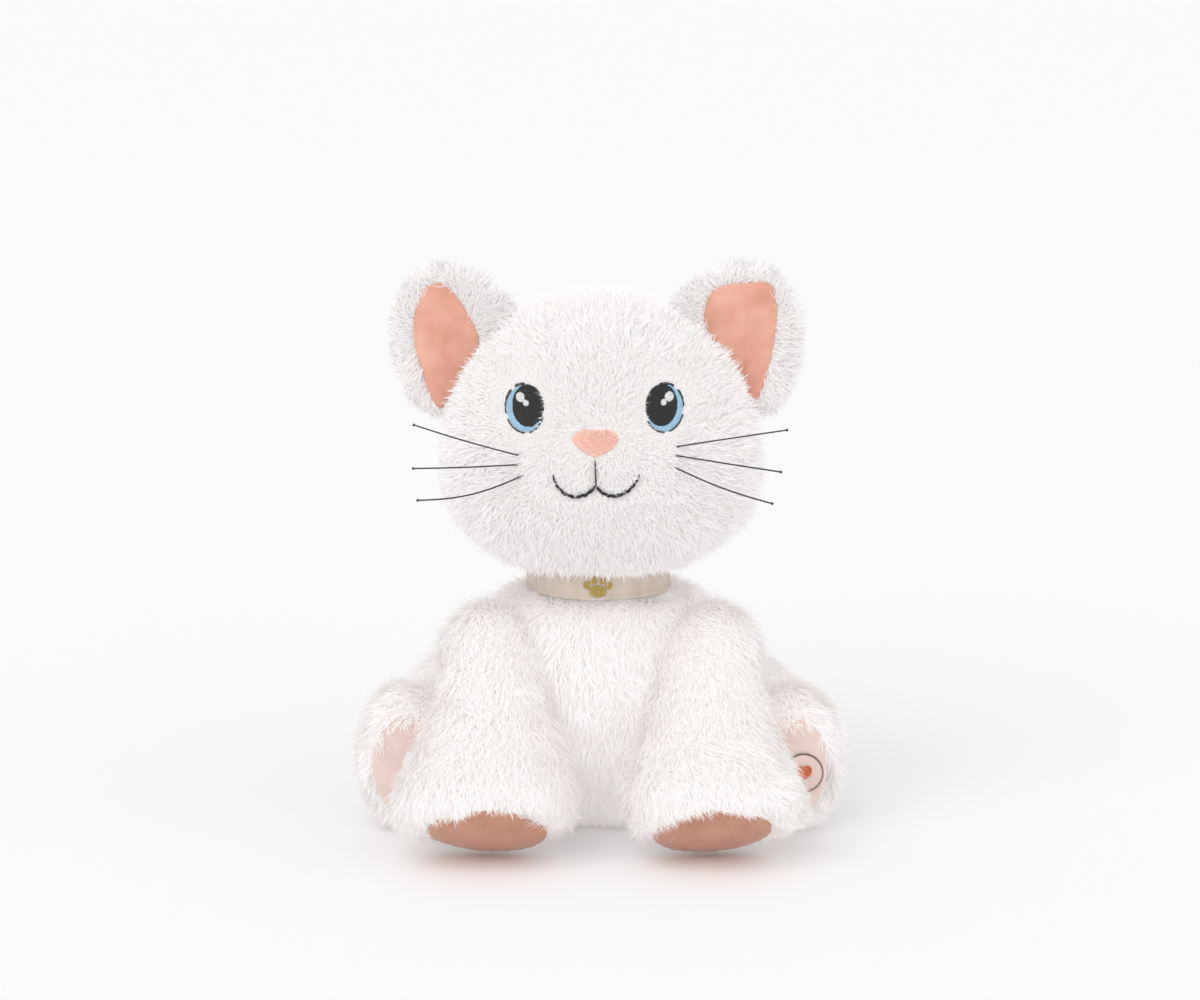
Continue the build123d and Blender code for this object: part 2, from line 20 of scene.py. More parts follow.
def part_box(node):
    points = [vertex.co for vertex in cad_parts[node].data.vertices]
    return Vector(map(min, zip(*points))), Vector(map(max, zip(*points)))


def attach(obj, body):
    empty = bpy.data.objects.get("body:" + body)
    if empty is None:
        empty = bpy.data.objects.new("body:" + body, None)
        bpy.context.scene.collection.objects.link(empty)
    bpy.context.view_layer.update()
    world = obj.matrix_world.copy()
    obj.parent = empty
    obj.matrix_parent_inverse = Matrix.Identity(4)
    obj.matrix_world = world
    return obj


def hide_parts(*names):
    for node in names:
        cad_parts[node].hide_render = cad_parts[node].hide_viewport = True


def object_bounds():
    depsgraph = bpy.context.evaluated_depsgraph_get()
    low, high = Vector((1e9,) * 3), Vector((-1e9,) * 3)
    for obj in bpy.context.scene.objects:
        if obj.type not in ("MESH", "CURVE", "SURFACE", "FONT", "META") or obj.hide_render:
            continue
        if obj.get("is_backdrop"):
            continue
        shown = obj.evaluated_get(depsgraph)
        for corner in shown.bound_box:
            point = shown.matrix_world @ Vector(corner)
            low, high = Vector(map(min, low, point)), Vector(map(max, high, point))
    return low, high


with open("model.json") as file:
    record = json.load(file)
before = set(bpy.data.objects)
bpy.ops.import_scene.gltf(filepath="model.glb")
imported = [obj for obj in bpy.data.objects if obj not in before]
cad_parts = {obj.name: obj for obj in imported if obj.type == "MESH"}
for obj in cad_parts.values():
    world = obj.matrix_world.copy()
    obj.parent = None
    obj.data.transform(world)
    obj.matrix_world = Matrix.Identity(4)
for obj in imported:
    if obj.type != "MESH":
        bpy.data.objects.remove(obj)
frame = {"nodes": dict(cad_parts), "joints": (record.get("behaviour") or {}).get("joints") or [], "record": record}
cad_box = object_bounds()
started = time.time()
random.seed(7)
noise.seed_set(7)       # noise_vector starts from the clock without it
MM = 0.001
hinges = {joint["name"]: joint for joint in frame["joints"]}
neck = Vector(hinges["head_turn"]["pos_m"])
shift_y = neck.y + 10 * MM      # the forms below are written about a neck at y = -10 mm
print("nodes", len(frame["nodes"]), "neck", [round(v, 4) for v in neck])

# %% [markdown]
# The camera stands in front and a little above, with a long lens, so that near and far parts keep their
# sizes. Two broad soft lights, a bright world and a pale floor keep the white pile bright, with soft shadows.

# %% Camera, lights and floor
ELEVATION = math.radians(11)
DISTANCE = 1.5
LENS = 100
WORLD_LIGHT = 0.75
target = Vector((0, 0, 0.1455))
scene = bpy.context.scene
camera = bpy.data.objects.new("camera", bpy.data.cameras.new("camera"))
scene.collection.objects.link(camera)
camera.location = target + Vector((0, -math.cos(ELEVATION), math.sin(ELEVATION))) * DISTANCE
camera.rotation_euler = (math.radians(90) - ELEVATION, 0, 0)
camera.data.lens = LENS
camera.data.sensor_width = 36
scene.camera = camera

world = bpy.data.worlds.new("studio")
world.use_nodes = True
world.node_tree.nodes["Background"].inputs["Color"].default_value = (1, 1, 1, 1)
world.node_tree.nodes["Background"].inputs["Strength"].default_value = WORLD_LIGHT
scene.world = world
scene.view_settings.view_transform = "Standard"


def soft_sun(name, direction, spread, strength):
    """A broad even light that shines along a direction, with shadows softened by its spread in degrees."""
    lamp = bpy.data.lights.new(name, "SUN")
    lamp.angle = math.radians(spread)
    lamp.energy = strength
    holder = bpy.data.objects.new(name, lamp)
    holder.rotation_euler = Vector(direction).to_track_quat("-Z", "Y").to_euler()
    scene.collection.objects.link(holder)


soft_sun("key_light", (0.5, 0.75, -0.9), 50, 0.85)
soft_sun("fill_light", (-0.8, 0.6, -0.6), 70, 0.35)
print("camera at", [round(v, 3) for v in camera.location], "lens", LENS)

# %% [markdown]
# Materials are node graphs written as ordinary arithmetic. `Wire` wraps a socket, so that `a * 2 + b`
# builds Math nodes, and `Finish` is one material with a Principled shader whose inputs can be fed.

# %% A small language for shader graphs


def joined(operation):
    """A method of Wire that makes one Math node."""

    def method(self, *others):
        node = self.graph.tree.nodes.new("ShaderNodeMath")
        node.operation = operation
        for slot, value in enumerate((self, *others)):
            self.graph.feed(node.inputs[slot], value)
        return Wire(self.graph, node.outputs[0])

    return method


class Wire:
    """A socket of a shader graph that Python's operators work on."""

    def __init__(self, graph, socket):
        self.graph = graph
        self.socket = socket

    __add__ = __radd__ = joined("ADD")
    __sub__ = joined("SUBTRACT")
    __mul__ = __rmul__ = joined("MULTIPLY")
    sine = joined("SINE")
    at_least = joined("MAXIMUM")
    at_most = joined("MINIMUM")

    def __rsub__(self, other):
        return self * -1.0 + other

    def clamped(self):
        return self.at_least(0.0).at_most(1.0)


class Finish:
    """A material made from a Principled shader, with helpers for the nodes that feed it."""

    def __init__(self, name, colour, roughness, **uniform):
        self.material = bpy.data.materials.new(name)
        self.material.use_nodes = True
        self.tree = self.material.node_tree
        self.shader = self.tree.nodes["Principled BSDF"]
        self.shader.inputs["Base Color"].default_value = (*colour, 1)
        self.shader.inputs["Roughness"].default_value = roughness
        self.material.diffuse_color = (*colour, 1)
        for key, value in uniform.items():
            self.shader.inputs[key.replace("_", " ")].default_value = value

    def feed(self, target_socket, value):
        if isinstance(value, Wire):
            self.tree.links.new(value.socket, target_socket)
        else:
            target_socket.default_value = value

    def node(self, kind, output=0, **inputs):
        made = self.tree.nodes.new(kind)
        for key, value in inputs.items():
            self.feed(made.inputs[key.replace("_", " ")], value)
        return Wire(self, made.outputs[output])

    def place(self):
        """Object coordinates in metres."""
        return self.node("ShaderNodeTexCoord", "Object")

    def axes(self, vector):
        split = self.tree.nodes.new("ShaderNodeSeparateXYZ")
        self.feed(split.inputs[0], vector)
        return [Wire(self, split.outputs[i]) for i in range(3)]

    def wave(self, axis, length):
        """Even stripes across an axis, from 0 to 1, with the wave length in metres."""
        return (axis * (2 * math.pi / length)).sine() * 0.5 + 0.5

    def speckle(self, size, detail=3.0, stretch=(1, 1, 1)):
        """Noise whose spots are about `size` metres wide."""
        scaled = self.node("ShaderNodeMapping", Vector=self.place(), Scale=stretch)
        return self.node("ShaderNodeTexNoise", Vector=scaled, Scale=1 / size, Detail=detail)

    def blend(self, share, first, second):
        mixer = self.tree.nodes.new("ShaderNodeMix")
        mixer.data_type = "RGBA"
        self.feed(mixer.inputs["Factor"], share)
        for socket, colour in ((mixer.inputs[6], first), (mixer.inputs[7], second)):
            self.feed(socket, colour if isinstance(colour, Wire) else (*colour, 1))
        return Wire(self, mixer.outputs[2])

    def colour(self, value):
        self.feed(self.shader.inputs["Base Color"], value)

    def rough(self, value):
        self.feed(self.shader.inputs["Roughness"], value)

    def bump(self, height, depth):
        """Raise the surface by `height` (0 to 1) times `depth` metres."""
        bumped = self.node("ShaderNodeBump", Height=height, Distance=depth, Strength=1.0)
        self.feed(self.shader.inputs["Normal"], bumped)


# %% [markdown]
# The pile has no texture of its own: about half a million hairs make it. The root tone is a little warmer than the
# two near-white tones for the outer part of the hairs, and darker: painted shade deep in the pile, which gives it
# depth. The knitted backing under it shows only where the pile parts. The satins and the ribbon are woven, which
# their fine stripes show.

# %% Fabric finishes
PILE_GLOW = {"head": 0.075, "body": 0.125}
# the root tone is darker than the others: painted shade deep in the pile
PILE_COLOURS = {"root": (0.88, 0.855, 0.845), "tip": (0.92, 0.91, 0.912), "warm": (0.90, 0.875, 0.865)}


def pile_finishes(where):
    """Root, tip and warm tones of the pile. A faint glow stands for light scattered between the hairs."""
    made = []
    glow = PILE_GLOW[where]
    for tone, colour in PILE_COLOURS.items():
        finish = Finish(f"{where}_pile_{tone}", colour, 0.75, Specular_IOR_Level=0.2, Emission_Strength=glow)
        finish.shader.inputs["Emission Color"].default_value = (1.0, 0.96, 0.95, 1)
        made.append(finish)
    return made


pile_tones = {where: pile_finishes(where) for where in PILE_GLOW}

backing = Finish("knitted_backing", (0.90, 0.88, 0.87), 0.95)
knit = backing.speckle(0.0012)
backing.colour(backing.blend(knit, (0.82, 0.79, 0.78), (0.94, 0.92, 0.91)))
backing.bump(knit, 0.0004)


def satin_finish(name, dark, light, thread=0.00045):
    """Woven satin: fine threads along one way, slow changes of tone, and a soft sheen."""
    finish = Finish(name, light, 0.5, Sheen_Weight=0.35, Sheen_Roughness=0.4, Specular_IOR_Level=0.45)
    x, y, z = finish.axes(finish.place())
    warp = finish.wave(x, thread)
    weft = finish.wave(z + y, thread * 2.2)
    tone = finish.speckle(0.011, 2.0)
    finish.colour(finish.blend((tone * 1.5 - 0.3 + weft * 0.06).clamped(), dark, light))
    finish.rough(tone * 0.18 + 0.38)
    finish.bump(warp * 0.6 + weft * 0.4, 0.00006)
    return finish


coral_satin = satin_finish("coral_satin", (0.52, 0.23, 0.15), (0.68, 0.36, 0.26))
ear_satin = satin_finish("ear_satin", (0.70, 0.30, 0.21), (0.90, 0.50, 0.38))
pale_satin = satin_finish("pale_satin", (0.78, 0.58, 0.53), (0.88, 0.73, 0.68))
print("fabric finishes:", len(bpy.data.materials))

# %% [markdown]
# Stuffed forms are grown from a few simple bodies (stacks of level ovals, balls and tapered limbs), fused
# with a voxel remesh and relaxed, which rounds the joins as filling does under knitted fabric.

# %% Soft form helpers


def point(x, y, z):
    """A place written in millimetres about the pet's own middle, in the frame's metres."""
    return Vector((x * MM, y * MM + shift_y, z * MM))


def link_mesh(name, verts, faces):
    mesh = bpy.data.meshes.new(name)
    mesh.from_pydata([tuple(v) for v in verts], [], [tuple(f) for f in faces])
    mesh.update()
    made = bpy.data.objects.new(name, mesh)
    scene.collection.objects.link(made)
    return made


def smooth(mesh):
    mesh.polygons.foreach_set("use_smooth", np.ones(len(mesh.polygons), bool))


def bake(piece):
    """Turn what the modifiers make of a piece into its own plain mesh."""
    made = bpy.data.meshes.new_from_object(piece.evaluated_get(bpy.context.evaluated_depsgraph_get()))
    piece.modifiers.clear()
    piece.data = made
    return made


def face_outwards(mesh, weld=0.0):
    """Weld points closer than `weld` metres and turn all the faces outwards."""
    shell = bmesh.new()
    shell.from_mesh(mesh)
    if weld:
        bmesh.ops.remove_doubles(shell, verts=shell.verts, dist=weld)
    bmesh.ops.recalc_face_normals(shell, faces=shell.faces)
    shell.to_mesh(mesh)
    shell.free()


def remove_faces(mesh, unwanted):
    """Delete the faces whose middle is `unwanted`, and return how many there were."""
    shell = bmesh.new()
    shell.from_mesh(mesh)
    gone = [f for f in shell.faces if unwanted(f.calc_center_median())]
    count = len(gone)
    bmesh.ops.delete(shell, geom=gone, context="FACES")
    shell.to_mesh(mesh)
    shell.free()
    return count


def tube_of_rings(rings):
    """Vertices and faces of a closed skin through rings of equal size."""
    sides = len(rings[0])
    verts = [v for ring in rings for v in ring]
    faces = []
    for i in range(len(rings) - 1):
        for k in range(sides):
            a = i * sides + k
            b = i * sides + (k + 1) % sides
            faces.append((a, b, b + sides, a + sides))
    faces.append(tuple(reversed(range(sides))))
    last = (len(rings) - 1) * sides
    faces.append(tuple(range(last, last + sides)))
    return verts, faces


def ellipse_ring(centre, right, forward, half_right, half_forward, sides=40):
    ring = []
    for k in range(sides):
        turn = 2 * math.pi * k / sides
        ring.append(centre + right * (half_right * math.cos(turn)) + forward * (half_forward * math.sin(turn)))
    return ring


def ovals(rows):
    """A stack of level ovals: height, centre y, half width, half depth, in millimetres."""
    rings = []
    for z, y, half_x, half_y in rows:
        rings.append(ellipse_ring(point(0, y, z), Vector((1, 0, 0)), Vector((0, 1, 0)),
                                  half_x * MM, half_y * MM))
    return tube_of_rings(rings)


def ball(centre, radii):
    """An egg with the given half sizes, in millimetres."""
    rings = []
    for i in range(1, 16):
        tilt = math.pi * i / 16
        middle = point(*centre) - Vector((0, 0, math.cos(tilt) * radii[2] * MM))
        rings.append(ellipse_ring(middle, Vector((1, 0, 0)), Vector((0, 1, 0)),
                                  radii[0] * MM * math.sin(tilt), radii[1] * MM * math.sin(tilt)))
    return tube_of_rings(rings)


def limb(start, end, rows):
    """A tapered limb from start to end: share of the way, half width, half thickness, in millimetres."""
    a = point(*start)
    b = point(*end)
    along = (b - a).normalized()
    right = Vector((1, 0, 0))
    up = right.cross(along).normalized()
    rings = []
    for share, half_right, half_up in rows:
        rings.append(ellipse_ring(a.lerp(b, share), right, up, half_right * MM, half_up * MM))
    return tube_of_rings(rings)


def fused(name, bodies, voxel=2.6, relax=14):
    """One soft form from several overlapping closed bodies."""
    verts = []
    faces = []
    for body_verts, body_faces in bodies:
        start = len(verts)
        verts += body_verts
        faces += [tuple(start + i for i in face) for face in body_faces]
    form = link_mesh(name, verts, faces)
    face_outwards(form.data)
    remesh = form.modifiers.new("fuse", "REMESH")
    remesh.mode = "VOXEL"
    remesh.voxel_size = voxel * MM
    relaxed = form.modifiers.new("relax", "SMOOTH")
    relaxed.factor = 0.5
    relaxed.iterations = relax
    smooth(bake(form))
    return form


def mirrored_body(body):
    """The same body on the pet's other side."""
    verts, faces = body
    flipped = [Vector((-v.x, v.y, v.z)) for v in verts]
    return flipped, [tuple(reversed(face)) for face in faces]


# %% [markdown]
# The forms follow the CAD solids: a broad head that is widest low down at the cheeks, a pear-shaped
# torso, forelegs that widen to flat soles, and hind legs folded against the sides with the feet forward.

# %% Head, torso, legs and tail forms
head_rows = [
    (121, -13, 25, 24),
    (128, -16, 45, 37),
    (142, -20, 62, 48),
    (160, -22, 68.5, 54),
    (178, -21, 67, 55),
    (198, -18, 61, 52),
    (216, -15, 51, 45),
    (229, -13, 35, 33),
    (236, -12, 15, 15),
]
torso_rows = [
    (1, 12, 40, 36),
    (13, 10, 56, 47),
    (36, 6, 65, 52),
    (62, 0, 62, 49),
    (86, -2, 55, 45),
    (106, -8, 41, 36),
]
head_form = fused("head_form", [ovals(head_rows), ball((12, -62, 162), (17, 14, 13)),
                                ball((-15, -62, 162), (17, 14, 13)), ball((-2, -66, 176), (13, 13, 12))])
torso_form = fused("torso_form", [ovals(torso_rows)])

SHOULDER = (45, -32, 80)
SOLE = (51, -88, 18.5)
TAIL_R = 10
leg_rows = [(-0.18, 12, 12), (-0.08, 19, 19), (0.1, 21.5, 20.5), (0.36, 25, 20.5), (0.66, 33, 22.5),
            (0.86, 38, 26), (1.0, 34, 25)]
foreleg_forms = {}
hind_forms = {}
for side, sign in (("left", 1), ("right", -1)):
    leg = [limb(SHOULDER, SOLE, leg_rows), ball((49, -31, 82), (21, 20, 21))]
    hind = [ball((86, -24, 33), (21, 23, 33)), ball((64, 8, 36), (27, 38, 35))]
    if sign < 0:
        leg = [mirrored_body(body) for body in leg]
        hind = [mirrored_body(body) for body in hind]
    foreleg_forms[side] = fused(f"{side}_foreleg_form", leg, relax=6)
    hind_forms[side] = fused(f"{side}_hind_form", hind)
tail_line = [(0, 60, 21), (3, 70, 17), (13, 80, 13.5), (30, 85, 12.5), (48, 84, 12.5)]
tail_rings = []
for i, place in enumerate(tail_line):
    before = Vector(tail_line[max(i - 1, 0)])
    after = Vector(tail_line[min(i + 1, len(tail_line) - 1)])
    along = (after - before).normalized()
    across = along.cross(Vector((0, 0, 1))).normalized()
    tail_rings.append(ellipse_ring(point(*place), across, across.cross(along), TAIL_R * MM, TAIL_R * MM, 20))
tail_form = fused("tail_form", [tube_of_rings(tail_rings), ball((50, 84, 12.5), (TAIL_R,) * 3)], relax=8)
print("forms", round(time.time() - started, 1), "s")

# %% [markdown]
# Each ear is a flat padded panel whose outline is a rounded triangle, leaning out from the head's side.

# %% Ears


def closed_curve(points, steps=8):
    """A smooth closed outline through points in front view (Catmull-Rom)."""
    outline = []
    count = len(points)
    for i in range(count):
        p0, p1, p2, p3 = (Vector(points[(i + k - 1) % count]) for k in range(4))
        for s in range(steps):
            t = s / steps
            outline.append(0.5 * ((2 * p1) + (p2 - p0) * t + (2 * p0 - 5 * p1 + 4 * p2 - p3) * t * t
                                  + (3 * p1 - p0 - 3 * p2 + p3) * t ** 3))
    return outline


def panel(outline, y_front, y_back):
    """A closed slab with the outline in front view."""
    return tube_of_rings([[point(p.x, y, p.y) for p in outline] for y in (y_front, y_back)])


ear_outlines = {
    "left": closed_curve([(34, 229), (46, 244), (64, 250), (80, 243), (86, 221), (79, 194), (62, 190), (44, 205)]),
    "right": closed_curve([(-38, 226), (-52, 243), (-70, 250), (-84, 241), (-89, 221), (-82, 195), (-64, 190),
                           (-46, 205)]),
}
lining_outlines = {
    "left": closed_curve([(50, 242), (63, 245.5), (76, 243.5), (77, 222), (69, 193), (57, 209), (46, 228)]),
    "right": closed_curve([(-66.5, 243.5), (-77, 243), (-82, 227), (-79, 208), (-71, 190), (-61.5, 205),
                           (-53.5, 221)]),
}
EAR_FRONT = -18.0
EAR_BACK = -5.0
ear_forms = {}
for side, outline in ear_outlines.items():
    ear_forms[side] = fused(f"{side}_ear_form", [panel(outline, EAR_FRONT, EAR_BACK)], voxel=2.0, relax=10)
    print(side, "ear:", len(ear_forms[side].data.vertices), "points")

# %% [markdown]
# The nap is the way the pile lies. It runs away from the nose over the head, down the torso and legs and
# out to the rims of the ears. Slow noise turns it a little from place to place, which gathers the hairs
# into tufts. `coat` is the pile's length at a place: short around the eyes, nose and mouth.

# %% Nap and coat
LEFT_EYE = (27.5, 197.3)
RIGHT_EYE = (-32.3, 196.7)
NOSE = (-2.1, 184.4)
MUZZLE = (-2, 174)
MOUTH_LINE = [(-19.9, 169.8), (-15.2, 162.4), (-10.6, 160.9), (-1.7, 166.0), (7.6, 161.5), (14.8, 166.6),
              (16.8, 170.2)]
MOUTH_LINE_UP = [(-2.1, 178), (-1.7, 166.0)]


def held(value):
    """The value, kept between 0 and 1."""
    return max(0.0, min(1.0, value))


def far_from(place, centre, half_x, half_z):
    """0 at the rim of an upright oval on the face and 1 at twice its size, never negative."""
    return held(math.hypot((place.x / MM - centre[0]) / half_x, (place.z / MM - centre[1]) / half_z) - 1.0)


def off_line(place, line):
    """How far a place on the face is from a line of points in front view, in millimetres."""
    spot = Vector((place.x, place.z)) / MM
    best = 1e9
    for a, b in zip(line, line[1:]):
        a, b = Vector(a), Vector(b)
        share = held((spot - a).dot(b - a) / (b - a).length_squared)
        best = min(best, (spot - a - (b - a) * share).length)
    return best


def head_coat(place, normal):
    """Full at the sides and behind, and shorter round the eyes, the nose and the mouth."""
    if normal.y > 0.1:
        return 1.0
    off_mouth = min(off_line(place, MOUTH_LINE), off_line(place, MOUTH_LINE_UP))
    if off_mouth < 1.0:
        return 0.0
    near_mouth = min(1.0, 0.22 + off_mouth / 14)
    bare = min(far_from(place, LEFT_EYE, 7.8, 10.2), far_from(place, RIGHT_EYE, 7.8, 10.2),
               far_from(place, NOSE, 8.5, 4.2))
    muzzle = 0.42 + 0.58 * far_from(place, MUZZLE, 26, 24)
    eyes = 0.35 + 0.65 * min(far_from(place, LEFT_EYE, 14, 15), far_from(place, RIGHT_EYE, 14, 15))
    return 0.0 if bare <= 0 else min(muzzle, eyes, near_mouth) * (0.45 + 0.55 * bare)


def head_nap(place, normal):
    """Away from the bridge of the nose in front, and downwards behind."""
    away = place - point(-2, -78, 182)
    away.z -= 0.012 if place.z < 0.19 else -0.02
    behind = held((normal.y + 0.6) / 1.3)
    return away.normalized() * (1 - behind) + Vector((0.3 * normal.x, 0.3, -1)) * behind


def downward(place, normal):
    return Vector((0.25 * normal.x, 0.25 * normal.y, -1))


def even_coat(place, normal):
    return 1.0


WANDER = 0.75      # how far the nap strays
TUFT = 13.0        # width of the tufts in millimetres


def comb(form, nap_of, coat_of):
    """Write the nap and the coat onto the form's vertices."""
    mesh = form.data
    nap = np.zeros((len(mesh.vertices), 3), np.float32)
    coat = np.zeros(len(mesh.vertices), np.float32)
    for i, vertex in enumerate(mesh.vertices):
        normal = vertex.normal
        way = nap_of(vertex.co, normal).normalized()
        way = way + noise.noise_vector(vertex.co * (1000 / TUFT)) * WANDER
        way = way + noise.noise_vector(vertex.co * (1000 / (TUFT * 0.35))) * WANDER * 0.3
        way = way - normal * way.dot(normal)
        nap[i] = way.normalized() if way.length > 1e-6 else (0, 0, -1)
        coat[i] = coat_of(vertex.co, normal) * (0.92 + 0.28 * noise.noise(vertex.co * (1000 / 6.0)))
    mesh.attributes.new("nap", "FLOAT_VECTOR", "POINT").data.foreach_set("vector", nap.ravel())
    mesh.attributes.new("coat", "FLOAT", "POINT").data.foreach_set("value", coat)
    print(f"{form.name}: {int((coat > 0).sum())} of {len(coat)} points under pile")


# %% [markdown]
# A hair is a thin blade that leans over from its root. Geometry Nodes scatters roots over a form, stands a
# blade on each along the normal, leaning along the nap, and gives the hairs their root and tip materials.

# %% Hair templates and the pile's node tree
BLADE_WIDTH = 0.55      # of a full-grown hair at its root, in millimetres
WIDTH_SCALE = 10.0      # the scale given to a hair's width when it is stood on the skin
WARM_ABOVE = 0.66       # hairs whose random tone is above this have the warm tip


def blade(name, lean, sideways):
    """A hair 1 mm long before it is scaled: two faces, leaning to +X."""
    points = [Vector((0, 0, 0))]
    reach = 0.5 * MM
    for step, angle in enumerate((lean, lean + 18)):
        turn = math.radians(angle)
        side = sideways * (step + 0.4) * reach
        points.append(points[-1] + Vector((math.sin(turn) * reach, side, math.cos(turn) * reach)))
    half = Vector((0, BLADE_WIDTH * MM / 2 / WIDTH_SCALE, 0))
    root, middle, tip = points
    verts = [root - half, root + half, middle - half * 0.85, middle + half * 0.85, tip]
    template = bpy.data.objects.new(name, bpy.data.meshes.new(name))
    template.data.from_pydata([tuple(v) for v in verts], [], [(0, 2, 3, 1), (2, 4, 3)])
    template.data.attributes.new("tipward", "FLOAT", "FACE").data.foreach_set("value", [0.0, 1.0])
    return template


hair_kit = bpy.data.collections.new("hair_templates")
HAIR_LEANS = [(46, 0.0), (54, 0.35), (54, -0.35), (62, 0.2), (60, -0.2), (38, 0.1)]
for index, (lean, sideways) in enumerate(HAIR_LEANS):
    hair_kit.objects.link(blade(f"hair_{index}", lean, sideways))


class Tree:
    """A geometry node tree built by name, with one method for its nodes."""

    def __init__(self, name, inputs):
        self.group = bpy.data.node_groups.new(name, "GeometryNodeTree")
        self.group.interface.new_socket("Geometry", in_out="INPUT", socket_type="NodeSocketGeometry")
        for label, kind in inputs:
            self.group.interface.new_socket(label, in_out="INPUT", socket_type=kind)
        self.group.interface.new_socket("Geometry", in_out="OUTPUT", socket_type="NodeSocketGeometry")
        self.start = self.group.nodes.new("NodeGroupInput")
        self.end = self.group.nodes.new("NodeGroupOutput")

    def add(self, kind, settings=None, links=None):
        node = self.group.nodes.new(kind)
        for key, value in (settings or {}).items():
            setattr(node, key, value)
        for key, value in (links or {}).items():
            socket = node.inputs[key]
            if isinstance(value, bpy.types.NodeSocket):
                self.group.links.new(value, socket)
            else:
                socket.default_value = value
        return node

    def attribute(self, label, kind="FLOAT"):
        node = self.add("GeometryNodeInputNamedAttribute", {"data_type": kind}, {"Name": label})
        return node.outputs["Attribute"]

    def maths(self, operation, first, second):
        return self.add("ShaderNodeMath", {"operation": operation}, {0: first, 1: second}).outputs[0]

    def above(self, value, limit):
        return self.add("FunctionNodeCompare", {"data_type": "FLOAT", "operation": "GREATER_THAN"},
                        {0: value, 1: limit}).outputs[0]

    def chance(self, low, high, seed):
        node = self.add("FunctionNodeRandomValue", {"data_type": "FLOAT"}, {2: low, 3: high, "Seed": seed})
        return node.outputs[1]

    def painted(self, geometry, material, selection=True):
        return self.add("GeometryNodeSetMaterial", None,
                        {"Geometry": geometry, "Selection": selection, "Material": material}).outputs[0]

    def finish(self, geometry):
        self.group.links.new(geometry, self.end.inputs[0])
        return self.group


def pile_tree():
    """Hairs stood on a combed form, made real and given their three materials."""
    inputs = [(label, "NodeSocketFloat") for label in ("Hairs per m2", "Length", "Spread", "Flatten")]
    inputs += [("Seed", "NodeSocketInt")] + [(label, "NodeSocketMaterial") for label in ("Root", "Tip", "Warm")]
    tree = Tree("long_pile", inputs)
    given = tree.start.outputs
    coat = tree.attribute("coat")
    roots = tree.add("GeometryNodeDistributePointsOnFaces", None,
                     {"Mesh": given["Geometry"], "Selection": tree.above(coat, 0.02),
                      "Density": given["Hairs per m2"], "Seed": given["Seed"]})
    upright = tree.add("FunctionNodeAlignRotationToVector", {"axis": "Z"}, {"Vector": roots.outputs["Normal"]})
    facing = tree.add("FunctionNodeAlignRotationToVector", {"axis": "X", "pivot_axis": "Z"},
                      {"Rotation": upright.outputs[0], "Vector": tree.attribute("nap", "FLOAT_VECTOR")})
    swing = tree.chance(tree.maths("MULTIPLY", given["Spread"], -1.0), given["Spread"], 3)
    lower = tree.maths("ADD", tree.chance(-0.30, 0.38, 4), given["Flatten"])
    turn = tree.add("ShaderNodeCombineXYZ", None, {"X": 0.0, "Y": lower, "Z": swing})
    turned = tree.add("FunctionNodeEulerToRotation", None, {0: turn.outputs[0]})
    spin = tree.add("FunctionNodeRotateRotation", {"rotation_space": "LOCAL"},
                    {"Rotation": facing.outputs[0], "Rotate By": turned.outputs[0]})
    length = tree.maths("MULTIPLY", tree.chance(0.62, 1.12, 5), coat)
    tall = tree.maths("MULTIPLY", length, given["Length"])
    size = tree.add("ShaderNodeCombineXYZ", None, {"X": tall, "Y": WIDTH_SCALE, "Z": tall})
    pick = tree.add("FunctionNodeRandomValue", {"data_type": "INT"}, {4: 0, 5: len(HAIR_LEANS) - 1, "Seed": 6})
    hairs = tree.add("GeometryNodeCollectionInfo", None,
                     {"Collection": hair_kit, "Separate Children": True, "Reset Children": True})
    stood = tree.add("GeometryNodeInstanceOnPoints", None,
                     {"Points": roots.outputs["Points"], "Instance": hairs.outputs[0], "Pick Instance": True,
                      "Instance Index": pick.outputs[2], "Rotation": spin.outputs[0], "Scale": size.outputs[0]})
    marked = tree.add("GeometryNodeStoreNamedAttribute", {"data_type": "FLOAT", "domain": "INSTANCE"},
                      {"Geometry": stood.outputs[0], "Name": "tone", "Value": tree.chance(0.0, 1.0, 8)})
    real = tree.add("GeometryNodeRealizeInstances", None, {"Geometry": marked.outputs[0]})
    # the lower face of every hair takes the darker root tone: painted shade deep in the pile
    rooted = tree.painted(real.outputs[0], given["Root"])
    outer = tree.above(tree.attribute("tipward"), 0.5)
    tipped = tree.painted(rooted, given["Tip"], outer)
    some = tree.above(tree.attribute("tone"), WARM_ABOVE)
    both = tree.add("FunctionNodeBooleanMath", {"operation": "AND"}, {0: some, 1: outer})
    return tree.finish(tree.painted(tipped, given["Warm"], both.outputs[0]))


long_pile = pile_tree()


def run_tree(piece, group, **inputs):
    """Apply a geometry node tree, with its inputs by label, and return the plain mesh it makes."""
    modifier = piece.modifiers.new(group.name, "NODES")
    modifier.node_group = group
    for item in group.interface.items_tree:
        label = item.name.replace(" ", "_")
        if item.item_type == "SOCKET" and item.in_out == "INPUT" and label in inputs:
            modifier[item.identifier] = inputs[label]
    return bake(piece)


FLOOR_GAP = 0.0004      # metres between the floor and the lowest hairs


def grow(name, form, length, flatten, seed, where, tones):
    """Grow pile on a combed form, or on the part of it that `where` picks, and return it as a plain mesh."""
    coat = bpy.data.objects.new(name, form.data.copy())
    coat.data.materials.clear()
    scene.collection.objects.link(coat)
    if where:
        remove_faces(coat.data, lambda middle: not where(middle))
    root, tip, warm = (finish.material for finish in tones)
    grown = run_tree(coat, long_pile, Hairs_per_m2=PILE * 1e6, Length=length, Spread=SPREAD, Seed=seed,
                     Flatten=flatten, Root=root, Tip=tip, Warm=warm)
    grown.name = name
    places = np.zeros(len(grown.vertices) * 3, np.float32)
    grown.vertices.foreach_get("co", places)
    places[2::3] = np.maximum(places[2::3], FLOOR_GAP)
    grown.vertices.foreach_set("co", places)
    print(f"{name}: {sum(len(p.vertices) - 2 for p in grown.polygons)} triangles")
    return coat


